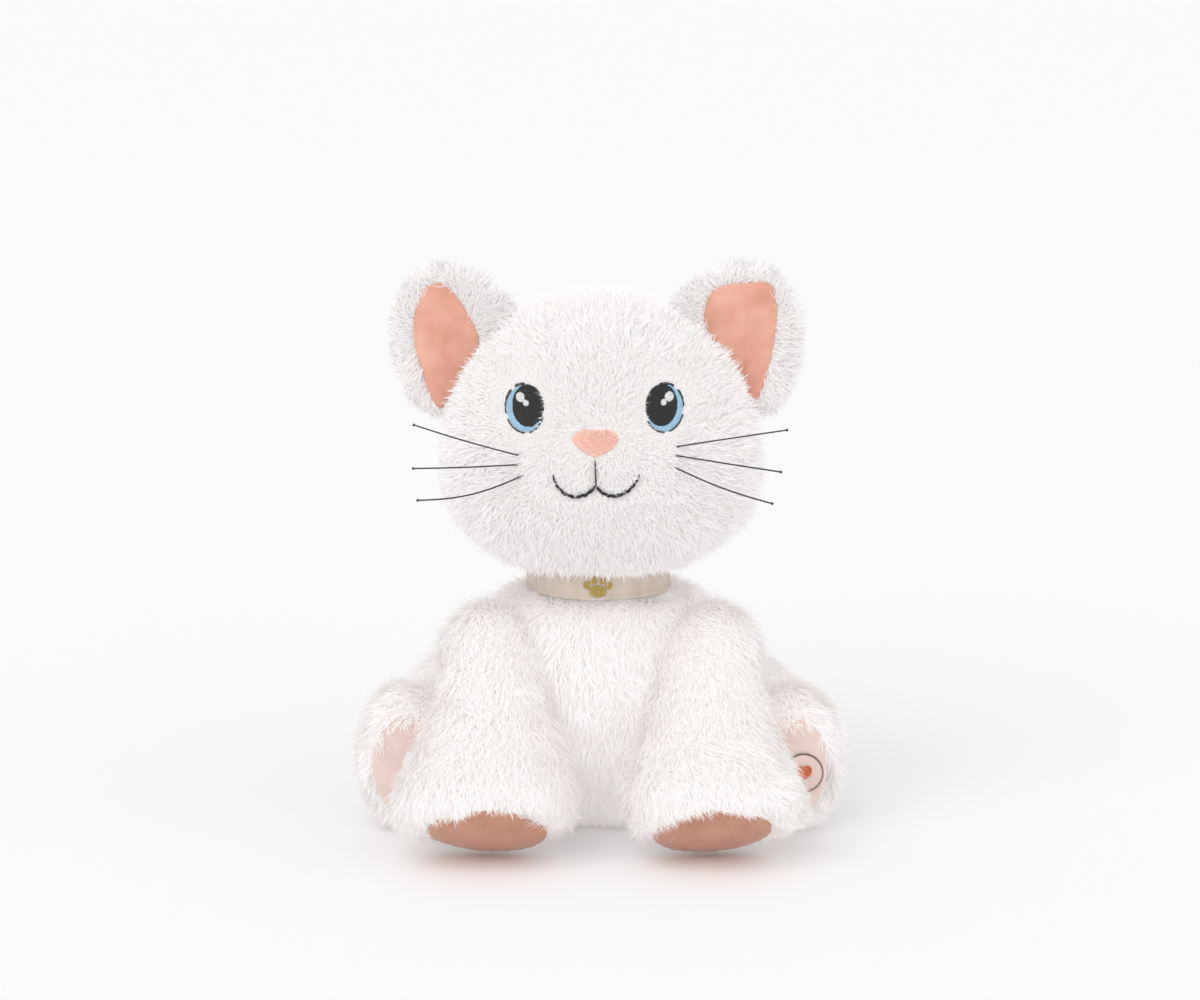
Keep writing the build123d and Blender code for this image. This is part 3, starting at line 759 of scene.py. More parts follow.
# %% [markdown]
# A stuffed skin is pressed out by its filling. A short cloth simulation with inner pressure and no gravity
# settles each form into that state, and a cap keeps every point near where the CAD solid has it.

# %% Settle the skins with a short cloth simulation


FILLING = 4             # pressure of the filling on the skin
STIFFNESS = 25
BENDING = 2
FRAMES = 20


def settled(form, cell, cap):
    """Remesh the form evenly, blow it up as cloth, cap the movement and subdivide once."""
    remesh = form.modifiers.new("even", "REMESH")
    remesh.mode = "VOXEL"
    remesh.voxel_size = cell * MM
    rest = np.array([v.co for v in bake(form).vertices])
    cover = form.modifiers.new("cover", "CLOTH")
    cover.settings.use_pressure = True
    cover.settings.uniform_pressure_force = FILLING
    cover.settings.tension_stiffness = STIFFNESS
    cover.settings.compression_stiffness = STIFFNESS
    cover.settings.bending_stiffness = BENDING
    cover.settings.effector_weights.gravity = 0
    cover.point_cache.frame_start = 1
    cover.point_cache.frame_end = FRAMES
    for step in range(1, FRAMES + 1):
        scene.frame_set(step)
    blown = bake(form)
    scene.frame_set(1)
    moved = np.array([v.co for v in blown.vertices]) - rest
    reach = np.linalg.norm(moved, axis=1, keepdims=True)
    moved *= np.minimum(1.0, cap * MM / np.maximum(reach, 1e-9))
    blown.vertices.foreach_set("co", (rest + moved).astype(np.float32).ravel())
    finer = form.modifiers.new("finer", "SUBSURF")
    finer.levels = 1
    finer.render_levels = 1
    smooth(bake(form))


sim_started = time.time()
for form in (head_form, torso_form, *hind_forms.values()):
    settled(form, 4.5, 2.0)
for form in foreleg_forms.values():
    settled(form, 4.0, 1.2)
for form in (*ear_forms.values(), tail_form):
    settled(form, 3.0, 1.0)
print("settled in", round(time.time() - sim_started, 1), "s")

# %% [markdown]
# The underside of the torso is open where the base plate sits, so that the battery door comes away from
# the plate and not from fabric.

# %% Open the torso over the base plate
plate_low, plate_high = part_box("base_plate")
UNDERSIDE = 0.009       # metres above the floor


def over_plate(place, margin):
    """Whether a place is over or under the base plate, grown by a margin in metres."""
    return (plate_low.x - margin < place.x < plate_high.x + margin
            and plate_low.y - margin < place.y < plate_high.y + margin)


opened = remove_faces(torso_form.data, lambda middle: middle.z < UNDERSIDE and over_plate(middle, -0.001))
print("faces opened over the base plate:", opened)

# %% [markdown]
# The left hind sole is open round the press button, so that the button can sink into the foot.

# %% Open the foot round the button
plunger_low, plunger_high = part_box("press_plunger")
mark_x = (plunger_low.x + plunger_high.x) / 2 / MM
mark_z = (plunger_low.z + plunger_high.z) / 2 / MM
BUTTON_ROOM = 8.9       # radius of the hole round the button, in millimetres
HIND_SOLE_Y = -44.0
button_place = point(mark_x, HIND_SOLE_Y, mark_z)


def from_button(place):
    """How far a place on the front of the foot is from the button's axis, in millimetres."""
    if place.y > button_place.y + 0.01:
        return 1e3
    return math.hypot(place.x - button_place.x, place.z - button_place.z) / MM


opened = remove_faces(hind_forms["left"].data, lambda middle: from_button(middle) < BUTTON_ROOM + 1.5)
print("faces opened round the button:", opened)

# %% [markdown]
# Each skin stands for its soft CAD solids and rides on the same body.

# %% Place the skins
skins = [(head_form, "head", ("head_skin", "head_stuffing")),
         (torso_form, "torso", ("torso_skin", "torso_stuffing")), (tail_form, "tail", ("tail",))]
for side in ("left", "right"):
    skins.append((foreleg_forms[side], f"{side}_foreleg", (f"{side}_foreleg",)))
    skins.append((hind_forms[side], "torso", (f"{side}_hind_leg",)))
    skins.append((ear_forms[side], "head", (f"{side}_ear",)))
for form, body, nodes in skins:
    form.data.materials.clear()
    form.data.materials.append(backing.material)
    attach(form, body)
    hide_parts(*nodes)
print("skins placed:", len(skins))

# %% [markdown]
# The coat is bare under the linings and the soles and short where a part meets the floor. On the forelegs
# the nap fans out round the sole, and on the ears it lies outwards from the middle.

# %% Comb the forms


def inside(outline, x, z):
    """Whether a place in front view is inside a closed outline, both in millimetres."""
    hit = False
    last = outline[-1]
    for p in outline:
        if (p.y > z) != (last.y > z) and x < (last.x - p.x) * (z - p.y) / (last.y - p.y) + p.x:
            hit = not hit
        last = p
    return hit


def ear_habit(side):
    """The coat and the nap of an ear: bare behind the lining, and lying outwards."""
    lining = lining_outlines[side]
    middle = sum(lining, Vector((0, 0))) / len(lining)
    shrunk = [middle + (p - middle) * 0.9 for p in lining]
    centre = sum((Vector((p.x, 0, p.y)) for p in ear_outlines[side]), Vector()) / len(ear_outlines[side]) * MM

    def coat(place, normal):
        if normal.y < 0.15 and inside(shrunk, place.x / MM, place.z / MM):
            return 0.0
        return 0.85

    def nap(place, normal):
        out = place - centre
        out.y = 0
        return out.normalized() + Vector((0, 0, 0.15))

    return nap, coat


leg_way = (point(*SOLE) - point(*SHOULDER)).normalized()


def foreleg_coat(sign):
    """Bare on the sole, a fringe round it, and trimmed against the floor."""
    sole = point(SOLE[0] * sign, SOLE[1], SOLE[2])

    def coat(place, normal):
        offset = place - sole
        past = offset.dot(leg_way)
        across = offset.x / (25.5 * MM)
        up = (offset - leg_way * past).z / -leg_way.y / (15 * MM)
        if past > -0.006 and across * across + up * up < 1:
            return 0.0
        fringe = 0.72 if offset.z > 0 else 0.4
        near_sole = min(1.0, fringe + max(0.0, -past - 0.001) / 0.016)
        if place.z < 0.012 and past > -0.014:
            return 0.12
        if place.z < 0.010:
            return min(near_sole, 0.35 + place.z / 0.02)
        return near_sole

    return coat


def hind_coat(sign):
    """Bare on the sole and round the button."""

    def coat(place, normal):
        across = (place.x * sign - 0.0855) / (13.5 * MM)
        up = (place.z - 0.0325) / (20 * MM)
        if place.y < shift_y - 0.036 and across * across + up * up < 1:
            return 0.0
        if sign > 0 and from_button(place) < BUTTON_ROOM + 3.5:
            return 0.0
        return 0.45 if place.z < 0.004 else 0.95

    return coat


NECK_Z = 0.103


def torso_coat(place, normal):
    if place.z < 0.008 and over_plate(place, 0.004):
        return 0.0
    if place.z > NECK_Z:
        return 0.7
    return 0.4 if place.z < 0.004 else 1.0


def foreleg_nap(place, normal):
    sign = 1 if place.x > 0 else -1
    sole = point(SOLE[0] * sign, SOLE[1], SOLE[2])
    offset = place - sole
    past = offset.dot(leg_way)
    outward = offset - leg_way * past
    near = max(0.0, 1 + past / 0.022) * (0.35 if offset.z > 0.004 else 1.0)
    return leg_way * (1 - 0.75 * near) + outward.normalized() * near + Vector((0.2 * sign, 0, 0))


def hind_nap(place, normal):
    return Vector((0.45 if place.x > 0 else -0.45, -0.35, -0.55))


def tail_nap(place, normal):
    return Vector((1, 0.25, -0.1))


comb(head_form, head_nap, head_coat)
comb(torso_form, downward, torso_coat)
comb(tail_form, tail_nap, even_coat)
for side, sign in (("left", 1), ("right", -1)):
    comb(foreleg_forms[side], foreleg_nap, foreleg_coat(sign))
    comb(hind_forms[side], hind_nap, hind_coat(sign))
    comb(ear_forms[side], *ear_habit(side))

# %% [markdown]
# The pile is grown in patches, one piece for each, so that no piece is too heavy.

# %% Grow the pile
PILE = 3.0              # hairs per square millimetre
SPREAD = 0.5            # how far the hairs swing to either side of the nap, in radians
EAR_LINE = shift_y - 0.014
coats = [
    ("head_pile_left", head_form, "head", 11.0, lambda c: c.y < EAR_LINE and c.x > 0),
    ("head_pile_right", head_form, "head", 11.0, lambda c: c.y < EAR_LINE and c.x <= 0),
    ("head_pile_back", head_form, "head", 11.0, lambda c: c.y >= EAR_LINE),
    ("torso_pile_front", torso_form, "torso", 12.0, lambda c: c.y < shift_y),
    ("torso_pile_back", torso_form, "torso", 12.0, lambda c: c.y >= shift_y),
    ("tail_pile", tail_form, "tail", 9.0, None),
]
for side in ("left", "right"):
    coats.append((f"{side}_foreleg_pile", foreleg_forms[side], f"{side}_foreleg", 13.0, None))
    coats.append((f"{side}_hind_pile", hind_forms[side], "torso", 12.0, None))
    coats.append((f"{side}_ear_pile", ear_forms[side], "head", 10.0, None))
fur_started = time.time()
for seed, (name, form, body, length, where) in enumerate(coats, 1):
    tones = pile_tones["head" if body == "head" else "body"]
    flatten = 0.30 if "foreleg" in name else 0.15 if body == "torso" else 0.05
    pile = grow(name, form, length, flatten, seed, where, tones)
    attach(pile, body)
print("pile grown in", round(time.time() - fur_started, 1), "s")

# %% [markdown]
# Embroidery is rows of thread. Each stitch is a short line laid on the skin, a little higher in its
# middle, and Geometry Nodes gives all of them their round section at once.

# %% Threads


def thread_tree():
    """Lines of vertices turned into tubes with closed ends."""
    tree = Tree("threads", [("Half width", "NodeSocketFloat"), ("Thread", "NodeSocketMaterial")])
    given = tree.start.outputs
    lines = tree.add("GeometryNodeMeshToCurve", None, {"Mesh": given["Geometry"]})
    ring = tree.add("GeometryNodeCurvePrimitiveCircle", None, {"Resolution": 6, "Radius": given["Half width"]})
    tube = tree.add("GeometryNodeCurveToMesh", None,
                    {"Curve": lines.outputs[0], "Profile Curve": ring.outputs[0], "Fill Caps": True})
    real = tree.add("GeometryNodeRealizeInstances", None, {"Geometry": tube.outputs[0]})
    return tree.finish(tree.painted(real.outputs[0], given["Thread"]))


threads = thread_tree()


def embroider(name, lines, half_width, finish, body):
    """Turn lines of points into round threads, as one plain mesh piece."""
    verts = []
    edges = []
    for line in lines:
        start = len(verts)
        verts += [tuple(p) for p in line]
        edges += [(start + i, start + i + 1) for i in range(len(line) - 1)]
    mesh = bpy.data.meshes.new(name)
    mesh.from_pydata(verts, edges, [])
    piece = bpy.data.objects.new(name, mesh)
    scene.collection.objects.link(piece)
    made = run_tree(piece, threads, Half_width=half_width * MM, Thread=finish.material)
    smooth(made)
    print(f"{name}: {len(lines)} stitches, {len(made.polygons)} faces")
    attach(piece, body)
    return piece


face_tree = BVHTree.FromPolygons([v.co for v in head_form.data.vertices],
                                 [tuple(p.vertices) for p in head_form.data.polygons])


def on_face(x, z, lift=0.4):
    """The place on the face in front view, in millimetres, lifted off the skin."""
    hit, normal, _, _ = face_tree.ray_cast(Vector((x * MM, -0.3, z * MM)), Vector((0, 1, 0)))
    if hit is None:
        return None
    return hit + normal * (lift * MM)


STEP = 0.3              # how finely a region is searched, in millimetres
SHORTEST = 0.5


def stitch(start, end, z, place, lift):
    """One stitch as a line of places that rises in its middle."""
    jitter = (random.random() - 0.5) * 0.25
    spots = []
    for share in (0.0, 0.2, 0.5, 0.8, 1.0):
        rise = lift * (0.35 + 0.65 * math.sin(math.pi * share))
        spots.append(place(start + (end - start) * share, z + jitter * share, rise))
    return [spot for spot in spots if spot is not None]


def satin_rows(region, low, high, pitch=0.36, longest=5.0, place=on_face, lift=0.45):
    """Rows of stitches that fill a region of the front view between two corners, in millimetres."""
    lines = []
    z = low[1]
    row = 0
    while z <= high[1]:
        x = low[0]
        start = None
        limit = longest * (0.75 + 0.25 * ((row * 7) % 5) / 4)
        while x <= high[0] + STEP:
            within = x <= high[0] and region(x, z)
            if within and start is None:
                start = x
            if start is not None and (not within or x - start > limit):
                if x - start > SHORTEST:
                    lines.append(stitch(start, x, z, place, lift))
                start = x if within else None
            x += STEP
        z += pitch
        row += 1
    return [line for line in lines if len(line) > 1]


def thread_finish(name, colour, sheen=0.3, shade=0.62):
    """Twisted embroidery thread: tone changes from stitch to stitch and a fine twist."""
    finish = Finish(name, colour, 0.5, Sheen_Weight=sheen)
    tone = finish.speckle(0.0011, 2.0)
    finish.colour(finish.blend(tone, tuple(c * shade for c in colour), colour))
    x, _, z = finish.axes(finish.place())
    finish.rough(tone * 0.2 + 0.36)
    finish.bump(finish.wave(x * 0.6 + z, 0.0006), 0.00005)
    return finish


black_thread = thread_finish("black_thread", (0.016, 0.016, 0.018), 0.1)
blue_thread = thread_finish("blue_thread", (0.44, 0.72, 0.95))
white_thread = thread_finish("white_thread", (0.95, 0.96, 0.97))
coral_thread = thread_finish("coral_thread", (1.0, 0.60, 0.51), shade=0.86)
mark_thread = thread_finish("mark_thread", (0.82, 0.16, 0.03))
gold_thread = thread_finish("gold_thread", (0.62, 0.44, 0.09), 0.5)

# %% [markdown]
# The eyes: a black pupil set towards the nose and up, a light-blue crescent on its lower outer side, a
# thin black rim, and two white glints.

# %% Eyes


def oval(x, z, centre, half):
    """Below 1 inside an oval in front view."""
    return ((x - centre[0]) / half[0]) ** 2 + ((z - centre[1]) / half[1]) ** 2


EYE_HALF = (8.3, 9.8)
IRIS_HALF = (EYE_HALF[0] - 0.5, EYE_HALF[1] - 0.5)
PUPIL_HALF = (6.8, 8.5)
EYE_THREAD = 0.26       # half width in millimetres
RIM_POINTS = 72
black_lines, blue_lines, white_lines = [], [], []
for (eye_x, eye_z), out in ((LEFT_EYE, 1), (RIGHT_EYE, -1)):
    pupil = (eye_x - out * 1.3, eye_z + 1.2)
    glints = (((pupil[0] + out * 3.3, pupil[1] + 3.3), 1.9), ((pupil[0] + out * 0.9, pupil[1] + 1.2), 1.25))

    def is_glint(x, z):
        return any(oval(x, z, centre, (size, size)) < 1 for centre, size in glints)

    def is_pupil(x, z):
        return oval(x, z, pupil, PUPIL_HALF) < 1 and not is_glint(x, z)

    def is_iris(x, z):
        return oval(x, z, (eye_x, eye_z), IRIS_HALF) < 1 and oval(x, z, pupil, PUPIL_HALF) >= 1

    low = (eye_x - 10, eye_z - 12)
    high = (eye_x + 10, eye_z + 12)
    black_lines += satin_rows(is_pupil, low, high)
    blue_lines += satin_rows(is_iris, low, high)
    white_lines += satin_rows(is_glint, low, high, lift=0.6)
    rim = []
    for k in range(RIM_POINTS + 1):
        turn = 2 * math.pi * k / RIM_POINTS
        rim.append((EYE_HALF[0] * math.cos(turn), EYE_HALF[1] * math.sin(turn)))
    for k in range(0, RIM_POINTS, 3):
        turn = 2 * math.pi * k / RIM_POINTS
        outward = out * math.cos(turn) > -0.2 or math.sin(turn) < -0.3
        if not outward or k % 15 == 9:
            continue
        wide = 0.06 + 0.26 * max(0.0, math.sin(turn))
        for ring in (-wide, wide):
            black_lines.append([on_face(eye_x + x * (1 + ring / 9), eye_z + z * (1 + ring / 11), rise)
                                for (x, z), rise in zip(rim[k:k + 4], (0.2, 0.5, 0.5, 0.2))])
eye_black = embroider("eye_pupils", black_lines, EYE_THREAD, black_thread, "head")
embroider("eye_irises", blue_lines, EYE_THREAD, blue_thread, "head")
embroider("eye_glints", white_lines, EYE_THREAD, white_thread, "head")
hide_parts("left_eye", "right_eye")

# %% [markdown]
# The nose is a rounded triangle of coral thread, and the mouth is a black line of backstitch.

# %% Nose and mouth
NOSE_TOP = 189.2
NOSE_HEIGHT = 10.8
NOSE_HALF = 9.8
WIDEST = 0.36           # share of the way down


def is_nose(x, z):
    down = (NOSE_TOP - z) / NOSE_HEIGHT
    if down < 0 or down > 1:
        return False
    if down < WIDEST:
        half = 6.2 + 3.6 * math.sin(math.pi / 2 * down / WIDEST)
    else:
        half = NOSE_HALF * (1 - ((down - WIDEST) / (1 - WIDEST)) ** 1.5) ** 0.8
    return abs(x - NOSE[0]) < half


nose_lines = satin_rows(is_nose, (-14, 174), (10, 192), pitch=0.34, longest=4.5, lift=0.9)
nose = embroider("nose_embroidery", nose_lines, 0.26, coral_thread, "head")
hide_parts("nose")
mouth_path = [
    [(-2.1, 176.4), (-2.0, 172.5), (-1.8, 168.8), (-1.7, 165.5)],
    [(-19.9, 169.8), (-18.4, 165.8), (-15.2, 162.4), (-10.6, 160.9), (-6.2, 161.9), (-3.2, 164.2), (-1.7, 166.4)],
    [(-1.7, 165.8), (0.6, 163.2), (3.6, 161.7), (7.6, 161.5), (11.8, 163.4), (14.8, 166.6), (16.8, 170.2)],
]
mouth_lines = []
for path in mouth_path:
    dense = []
    for a, b in zip(path, path[1:]):
        for s in range(4):
            dense.append((a[0] + (b[0] - a[0]) * s / 4, a[1] + (b[1] - a[1]) * s / 4))
    dense.append(path[-1])
    for side in (-0.45, 0.0, 0.45):
        for k in range(0, len(dense) - 3, 3):
            mouth_lines.append([on_face(p[0], p[1] + side, rise)
                                for p, rise in zip(dense[k:k + 4], (0.6, 1.5, 1.5, 0.6))])
mouth = embroider("mouth_stitches", mouth_lines, 0.3, black_thread, "head")
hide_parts("mouth")

# %% [markdown]
# Six stiff nylon whiskers stand out from the muzzle. Each is one filament with a small melted bead at its
# tip, and each bends a little along its length.

# %% Whiskers
WHISKERS = {
    "left": [((35.2, 181.1), (79.4, -80, 190.6), 1.0), ((34.4, 178.0), (77.0, -80, 172.5), 0.8),
             ((32.9, 174.0), (73.5, -79, 158.6), -0.6)],
    "right": [((-36.6, 176.9), (-79.0, -80, 192.8), 0.4), ((-36.2, 173.7), (-79.5, -80, 174.0), 0.6),
              ((-35.1, 169.7), (-77.8, -79, 160.0), -2.2)],
}
nylon = Finish("black_nylon", (0.03, 0.029, 0.03), 0.35, Coat_Weight=0.2)
gloss = nylon.speckle(0.0008, 2.0)
nylon.rough(gloss * 0.2 + 0.25)
nylon.bump(gloss, 0.00001)
for side, filaments in WHISKERS.items():
    lines = []
    beads = []
    for (root_x, root_z), tip, bow in filaments:
        root = on_face(root_x * 0.9, root_z, -1.0)
        end = point(*tip)
        line = []
        for step in range(13):
            share = step / 12
            spot = root.lerp(end, share)
            spot.z += bow * MM * math.sin(math.pi * share)
            spot.y -= 5.0 * MM * math.sin(math.pi * share)
            line.append(spot)
        lines.append(line)
        way = (line[-1] - line[-2]).normalized()
        beads.append([line[-1] - way * 0.3 * MM, line[-1] + way * 0.5 * MM])
    whiskers = embroider(f"{side}_whisker_filaments", lines, 0.36, nylon, "head")
    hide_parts(f"{side}_whiskers")
    embroider(f"{side}_whisker_beads", beads, 0.65, nylon, "head")

# %% [markdown]
# The ear linings and the soles are satin patches sewn in by the rim: puckered at the seam, domed by the
# filling behind, and with a few soft creases.

# %% Satin patches


SHARES = (1.0, 0.975, 0.94, 0.9, 0.84, 0.76, 0.66, 0.54, 0.42, 0.28, 0.14, 0.03)
PUCKERS = 27            # round the rim


def satin_patch(name, outline, plane, dome, finish, body, node, hole=None, pucker=0.35, thickness=2.2):
    """A domed closed patch. `plane` maps (u, v, height) to a place, with the outline in u and v.

    `hole` is the centre and the radius of a round hole, also in u and v.
    """
    count = len(outline)
    inner = [sum((Vector(p) for p in outline), Vector((0, 0))) / count] * count
    if hole:
        middle, radius = Vector(hole[0]), hole[1]
        inner = [middle + (Vector(p) - middle).normalized() * radius for p in outline]
    rings = [[plane(*p, -thickness) for p in outline]]
    for share in SHARES:
        ring = []
        edge = math.exp(-((1 - share) / 0.13) ** 2)
        for k, (p, core) in enumerate(zip(outline, inner)):
            spot = core + (Vector(p) - core) * share
            wander = 2 * noise.noise(Vector((k * 0.31, dome, 3)))
            ripple = math.sin(k * 2 * math.pi * PUCKERS / count + wander)
            crease = noise.noise(Vector((spot.x * 0.09, spot.y * 0.05, dome * 3)))
            wrinkle = noise.noise(Vector((spot.x * 0.3, spot.y * 0.17, 5)))
            rise = dome * (1 - share ** 2.4) + pucker * edge * (1 - edge * 0.5) * ripple
            rise += (1 - share ** 4) * (0.55 * crease + 0.25 * wrinkle)
            ring.append(plane(spot.x, spot.y, rise if share < 1 else -0.4))
        rings.append(ring)
    if hole:
        rings += [[plane(core.x, core.y, -thickness) for core in inner], rings[0]]
    verts, faces = tube_of_rings(rings)
    piece = link_mesh(name, verts, faces[:-2] if hole else faces)
    face_outwards(piece.data, weld=1e-7)
    smooth(piece.data)
    piece.data.materials.append(finish.material)
    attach(piece, body)
    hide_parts(node)
    print(f"{name}: {len(piece.data.polygons)} faces")


def oval_outline(centre, half, count=96, turn=0.0):
    """Points round an oval, leaning by `turn` degrees."""
    lean = Matrix.Rotation(math.radians(turn), 2)
    angles = [2 * math.pi * k / count for k in range(count)]
    return [tuple(Vector(centre) + lean @ Vector((half[0] * math.cos(a), half[1] * math.sin(a)))) for a in angles]


def front_plane(y):
    """A plane that faces forward."""
    return lambda u, v, height: point(u, y - height, v)


def sole_plane(sign):
    """The plane of a front paw's sole, square to the leg."""
    origin = point(SOLE[0] * sign, SOLE[1], SOLE[2])
    way = Vector((leg_way.x * sign, leg_way.y, leg_way.z))
    right = Vector((1, 0, 0))
    right = (right - way * right.dot(way)).normalized()
    up = way.cross(right).normalized()
    if up.z < 0:
        up = -up
    return lambda u, v, height: origin + right * (u * MM) + up * (v * MM) + way * (height * MM)


SOLE_TURN = {"left": 11, "right": -2}
LINING_INSET = 1.8
for side, sign in (("left", 1), ("right", -1)):
    lining = [(p.x, p.y) for p in lining_outlines[side]]
    satin_patch(f"{side}_ear_satin", lining, front_plane(EAR_FRONT - LINING_INSET), 1.2, ear_satin, "head",
                f"{side}_ear_lining", thickness=4.0)
    fore_sole = oval_outline((0, -4.5), (28, 20.5), turn=SOLE_TURN[side])
    satin_patch(f"{side}_fore_sole_satin", fore_sole, sole_plane(sign), 5.5, coral_satin, f"{side}_foreleg",
                f"{side}_fore_sole", pucker=0.5, thickness=3.5)
    hind_sole = oval_outline((85.5 * sign, 32.5), (15.5, 22.5))
    satin_patch(f"{side}_hind_sole_satin", hind_sole, front_plane(HIND_SOLE_Y), 2.0, pale_satin, "torso",
                f"{side}_hind_sole", hole=((mark_x, mark_z), BUTTON_ROOM) if sign > 0 else None)

# %% [markdown]
# The hard parts come straight from CAD. Each gets a finish by its material slot, with a fine grain and slow
# changes of gloss, as moulded and plated stock has.

# %% Materials of the carried-over CAD pieces


def moulded(name, colour, roughness, grain=0.0007, depth=0.00002, **uniform):
    """Moulded or plated stock: fine surface grain and slow changes of gloss."""
    finish = Finish(name, colour, roughness, **uniform)
    fine = finish.speckle(grain, 2.0)
    slow = finish.speckle(0.018, 2.0)
    dark, light = (tuple(min(1.0, c * share) for c in colour) for share in (0.9, 1.06))
    finish.colour(finish.blend(slow, dark, light))
    finish.rough(slow * 0.18 + (roughness - 0.09))
    finish.bump(fine, depth)
    return finish


cad_finishes = {
    "sleeve_knit": moulded("sleeve_knit", (0.80, 0.78, 0.76), 0.95, 0.0012, 0.0003),
    "moulded_plastic": moulded("moulded_plastic", (0.80, 0.78, 0.75), 0.5),
    "dark_plastic": moulded("dark_plastic", (0.03, 0.03, 0.034), 0.45),
    "cone_paper": moulded("cone_paper", (0.05, 0.048, 0.045), 0.9, 0.0005, 0.00008),
    "steel": moulded("plated_steel", (0.62, 0.62, 0.61), 0.28, 0.0004, 0.000006, Metallic=1.0),
    "screw_steel": moulded("screw_steel", (0.45, 0.45, 0.46), 0.4, 0.0003, 0.000006, Metallic=1.0),
    "cell_jacket": moulded("cell_jacket", (0.10, 0.12, 0.14), 0.35, 0.003, 0.000005, Coat_Weight=0.5),
    "board_laminate": moulded("board_laminate", (0.03, 0.20, 0.09), 0.4, 0.0008, 0.00002, Coat_Weight=0.3),
    "gear_plastic": moulded("gear_plastic", (0.86, 0.85, 0.80), 0.3, 0.0006, 0.000008),
    "wire_jacket": moulded("wire_jacket", (0.35, 0.03, 0.03), 0.5, 0.0009, 0.00001),
    "dome_rubber": moulded("dome_rubber", (0.28, 0.28, 0.28), 0.7, 0.0006, 0.00002),
}
for part in frame["record"]["subparts"]:
    finish = cad_finishes.get(part["material_slot"])
    node = frame["nodes"][part["node"]]
    if finish and not node.hide_render:
        for slot in node.material_slots:
            slot.material = finish.material
print("CAD finishes:", len(cad_finishes))

# %% [markdown]
# The collar is a flat cream ribbon round the neck. Its end overlaps at the pet's left, and it carries a
# small paw print in gold thread at the front.

# %% Ribbon collar
ribbon = Finish("cream_ribbon", (0.74, 0.63, 0.54), 0.5, Sheen_Weight=0.4)
height = ribbon.axes(ribbon.place())[2]
ribs = ribbon.wave(height, 0.0009)
tone = ribbon.speckle(0.006, 2.0, (1, 1, 0.3))
ribbon.colour(ribbon.blend((tone * 1.3 - 0.1).clamped(), (0.60, 0.48, 0.39), (0.78, 0.68, 0.59)))
ribbon.rough(tone * 0.2 + 0.4)
ribbon.bump(ribs, 0.00008)
COLLAR_R = 32.0
COLLAR_X = -0.6
COLLAR_Y = -10
LOW = 108.0
HIGH = 122.5
TURNS = 150             # sections in one round
OVERLAP = 8             # sections more
# how far out the ribbon's section is, and how high: flat, with a thicker woven edge
profile = [(0.0, LOW), (0.75, LOW + 0.1), (0.8, LOW + 1.3), (0.35, LOW + 1.7), (0.45, LOW + 5), (0.5, HIGH - 5),
           (0.35, HIGH - 1.7), (0.8, HIGH - 1.3), (0.75, HIGH - 0.1), (0.0, HIGH)]
rings = []
for k in range(TURNS + OVERLAP):
    turn = math.radians(-43) + 2 * math.pi * k / TURNS
    over = max(0, k - TURNS + 6) / OVERLAP
    lift = 0.25 * noise.noise(Vector((math.cos(turn) * 3, math.sin(turn) * 3, 1)))
    drop = 0.5 * noise.noise(Vector((math.cos(turn) * 2, math.sin(turn) * 2, 7)))
    ring = []
    for out, z in profile:
        r = COLLAR_R + out + lift + over * 1.1
        ring.append(point(r * math.cos(turn) + COLLAR_X, COLLAR_Y + r * math.sin(turn), z + drop))
    rings.append(ring)
collar = link_mesh("ribbon_collar", *tube_of_rings(rings))
smooth(collar.data)
collar.data.materials.append(ribbon.material)
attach(collar, "torso")
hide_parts("collar_ribbon")
print("collar:", len(rings), "sections")


def on_collar(x, z, lift):
    """The place on the ribbon's front in front view."""
    r = COLLAR_R + 0.75 + lift
    across = x - COLLAR_X
    return point(x, COLLAR_Y - math.sqrt(r * r - across * across), z)


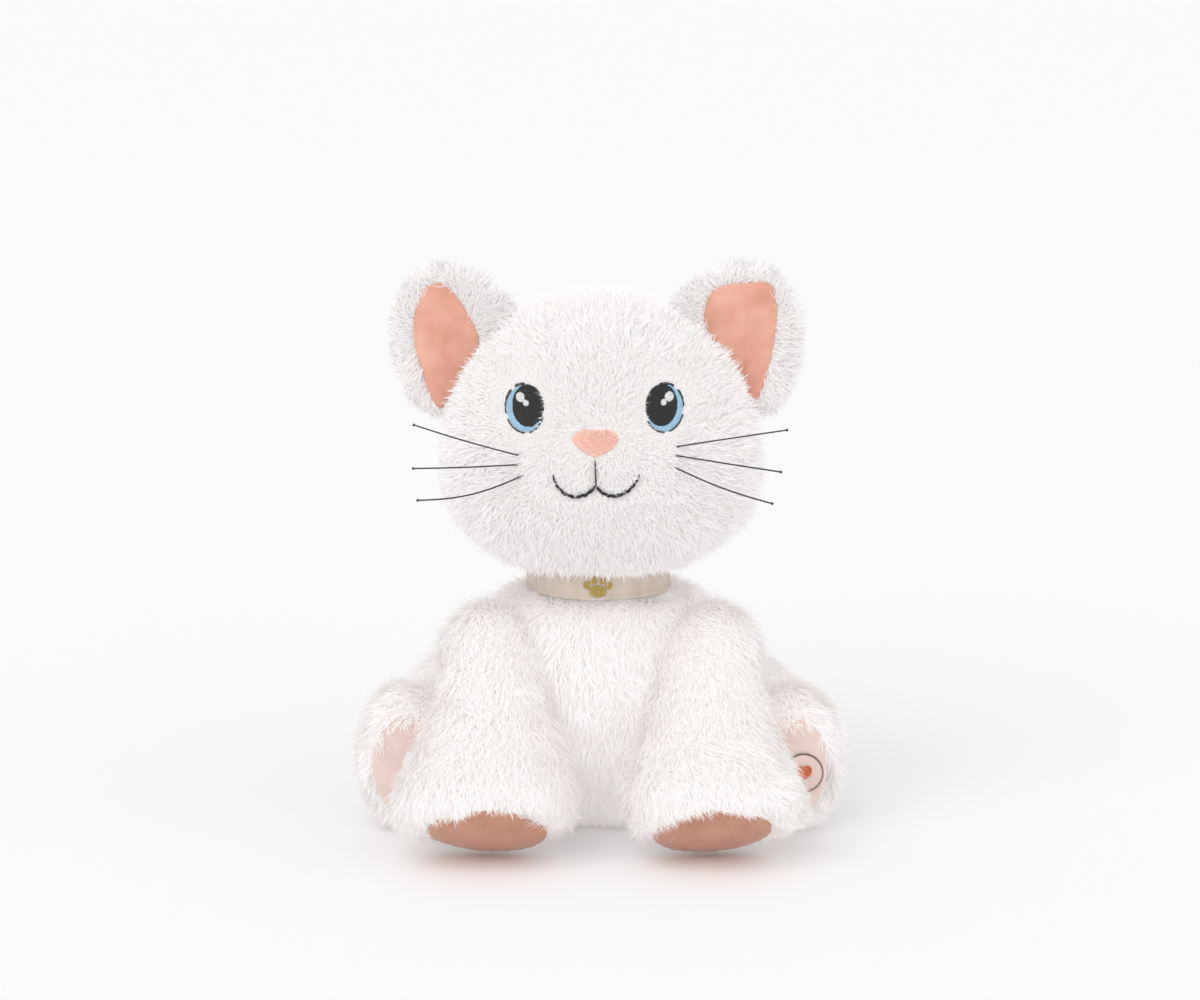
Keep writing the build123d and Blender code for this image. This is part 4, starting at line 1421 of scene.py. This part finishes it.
PAW = (-1.1, 114.2)
paw_ovals = [((0, -2.1), (3.6, 2.6))]
for x, z, half_z in ((-4.8, 0.6, 1.8), (-1.9, 3, 2), (1.9, 3, 2), (4.8, 0.6, 1.8)):
    paw_ovals.append(((x, z), (1.4, half_z)))


def is_paw(x, z):
    return any(oval(x - PAW[0], z - PAW[1], centre, half) < 1 for centre, half in paw_ovals)


paw_lines = satin_rows(is_paw, (-9, 108), (7, 120), pitch=0.3, longest=3.0, place=on_collar)
embroider("collar_paw_print", paw_lines, 0.2, gold_thread, "torso")

# %% [markdown]
# A round patch in the left hind sole marks the place to press. It rides on the plunger behind it.

# %% Press patch
PATCH_R = 8.2
PATCH_Y = -45.4
satin_patch("press_patch", oval_outline((mark_x, mark_z), (PATCH_R, PATCH_R), 60), front_plane(PATCH_Y), 0.8,
            pale_satin, "press_plunger", "press_mark", pucker=0.15, thickness=0.3)


def is_heart(x, z):
    u = (x - mark_x) / 2.9
    v = (z - mark_z) / 2.9
    return (u * u + v * v - 1) ** 3 - u * u * v ** 3 < 0


def on_patch(x, z, lift):
    return point(x, PATCH_Y - 1.1 - lift, z)


heart_lines = satin_rows(is_heart, (mark_x - 5, mark_z - 5), (mark_x + 5, mark_z + 5), pitch=0.3, longest=3.5,
                         place=on_patch)
embroider("press_heart", heart_lines, 0.22, mark_thread, "press_plunger")

# %% [markdown]
# The floor is a wide pale sheet under the pet. It isn't part of the object.

# %% Floor
FAR = 80                # metres, past where the camera can see its edge
floor = link_mesh("floor", [(-FAR, -FAR, 0), (FAR, -FAR, 0), (FAR, FAR, 0), (-FAR, FAR, 0)], [(0, 1, 2, 3)])
paper = Finish("floor_paper", (0.97, 0.97, 0.97), 0.9)
floor.data.materials.append(paper.material)
floor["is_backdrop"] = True

# %% [markdown]
# The two boxes, the CAD model's and the finished one's, are printed side by side.

# %% Size and finish
bpy.context.view_layer.update()
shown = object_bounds()
sizes = {"cad_box": [list(corner) for corner in cad_box], "visual_box": [list(corner) for corner in shown]}
print("cad", sizes["cad_box"], "visual", sizes["visual_box"])
print("script", round(time.time() - started, 1), "s")
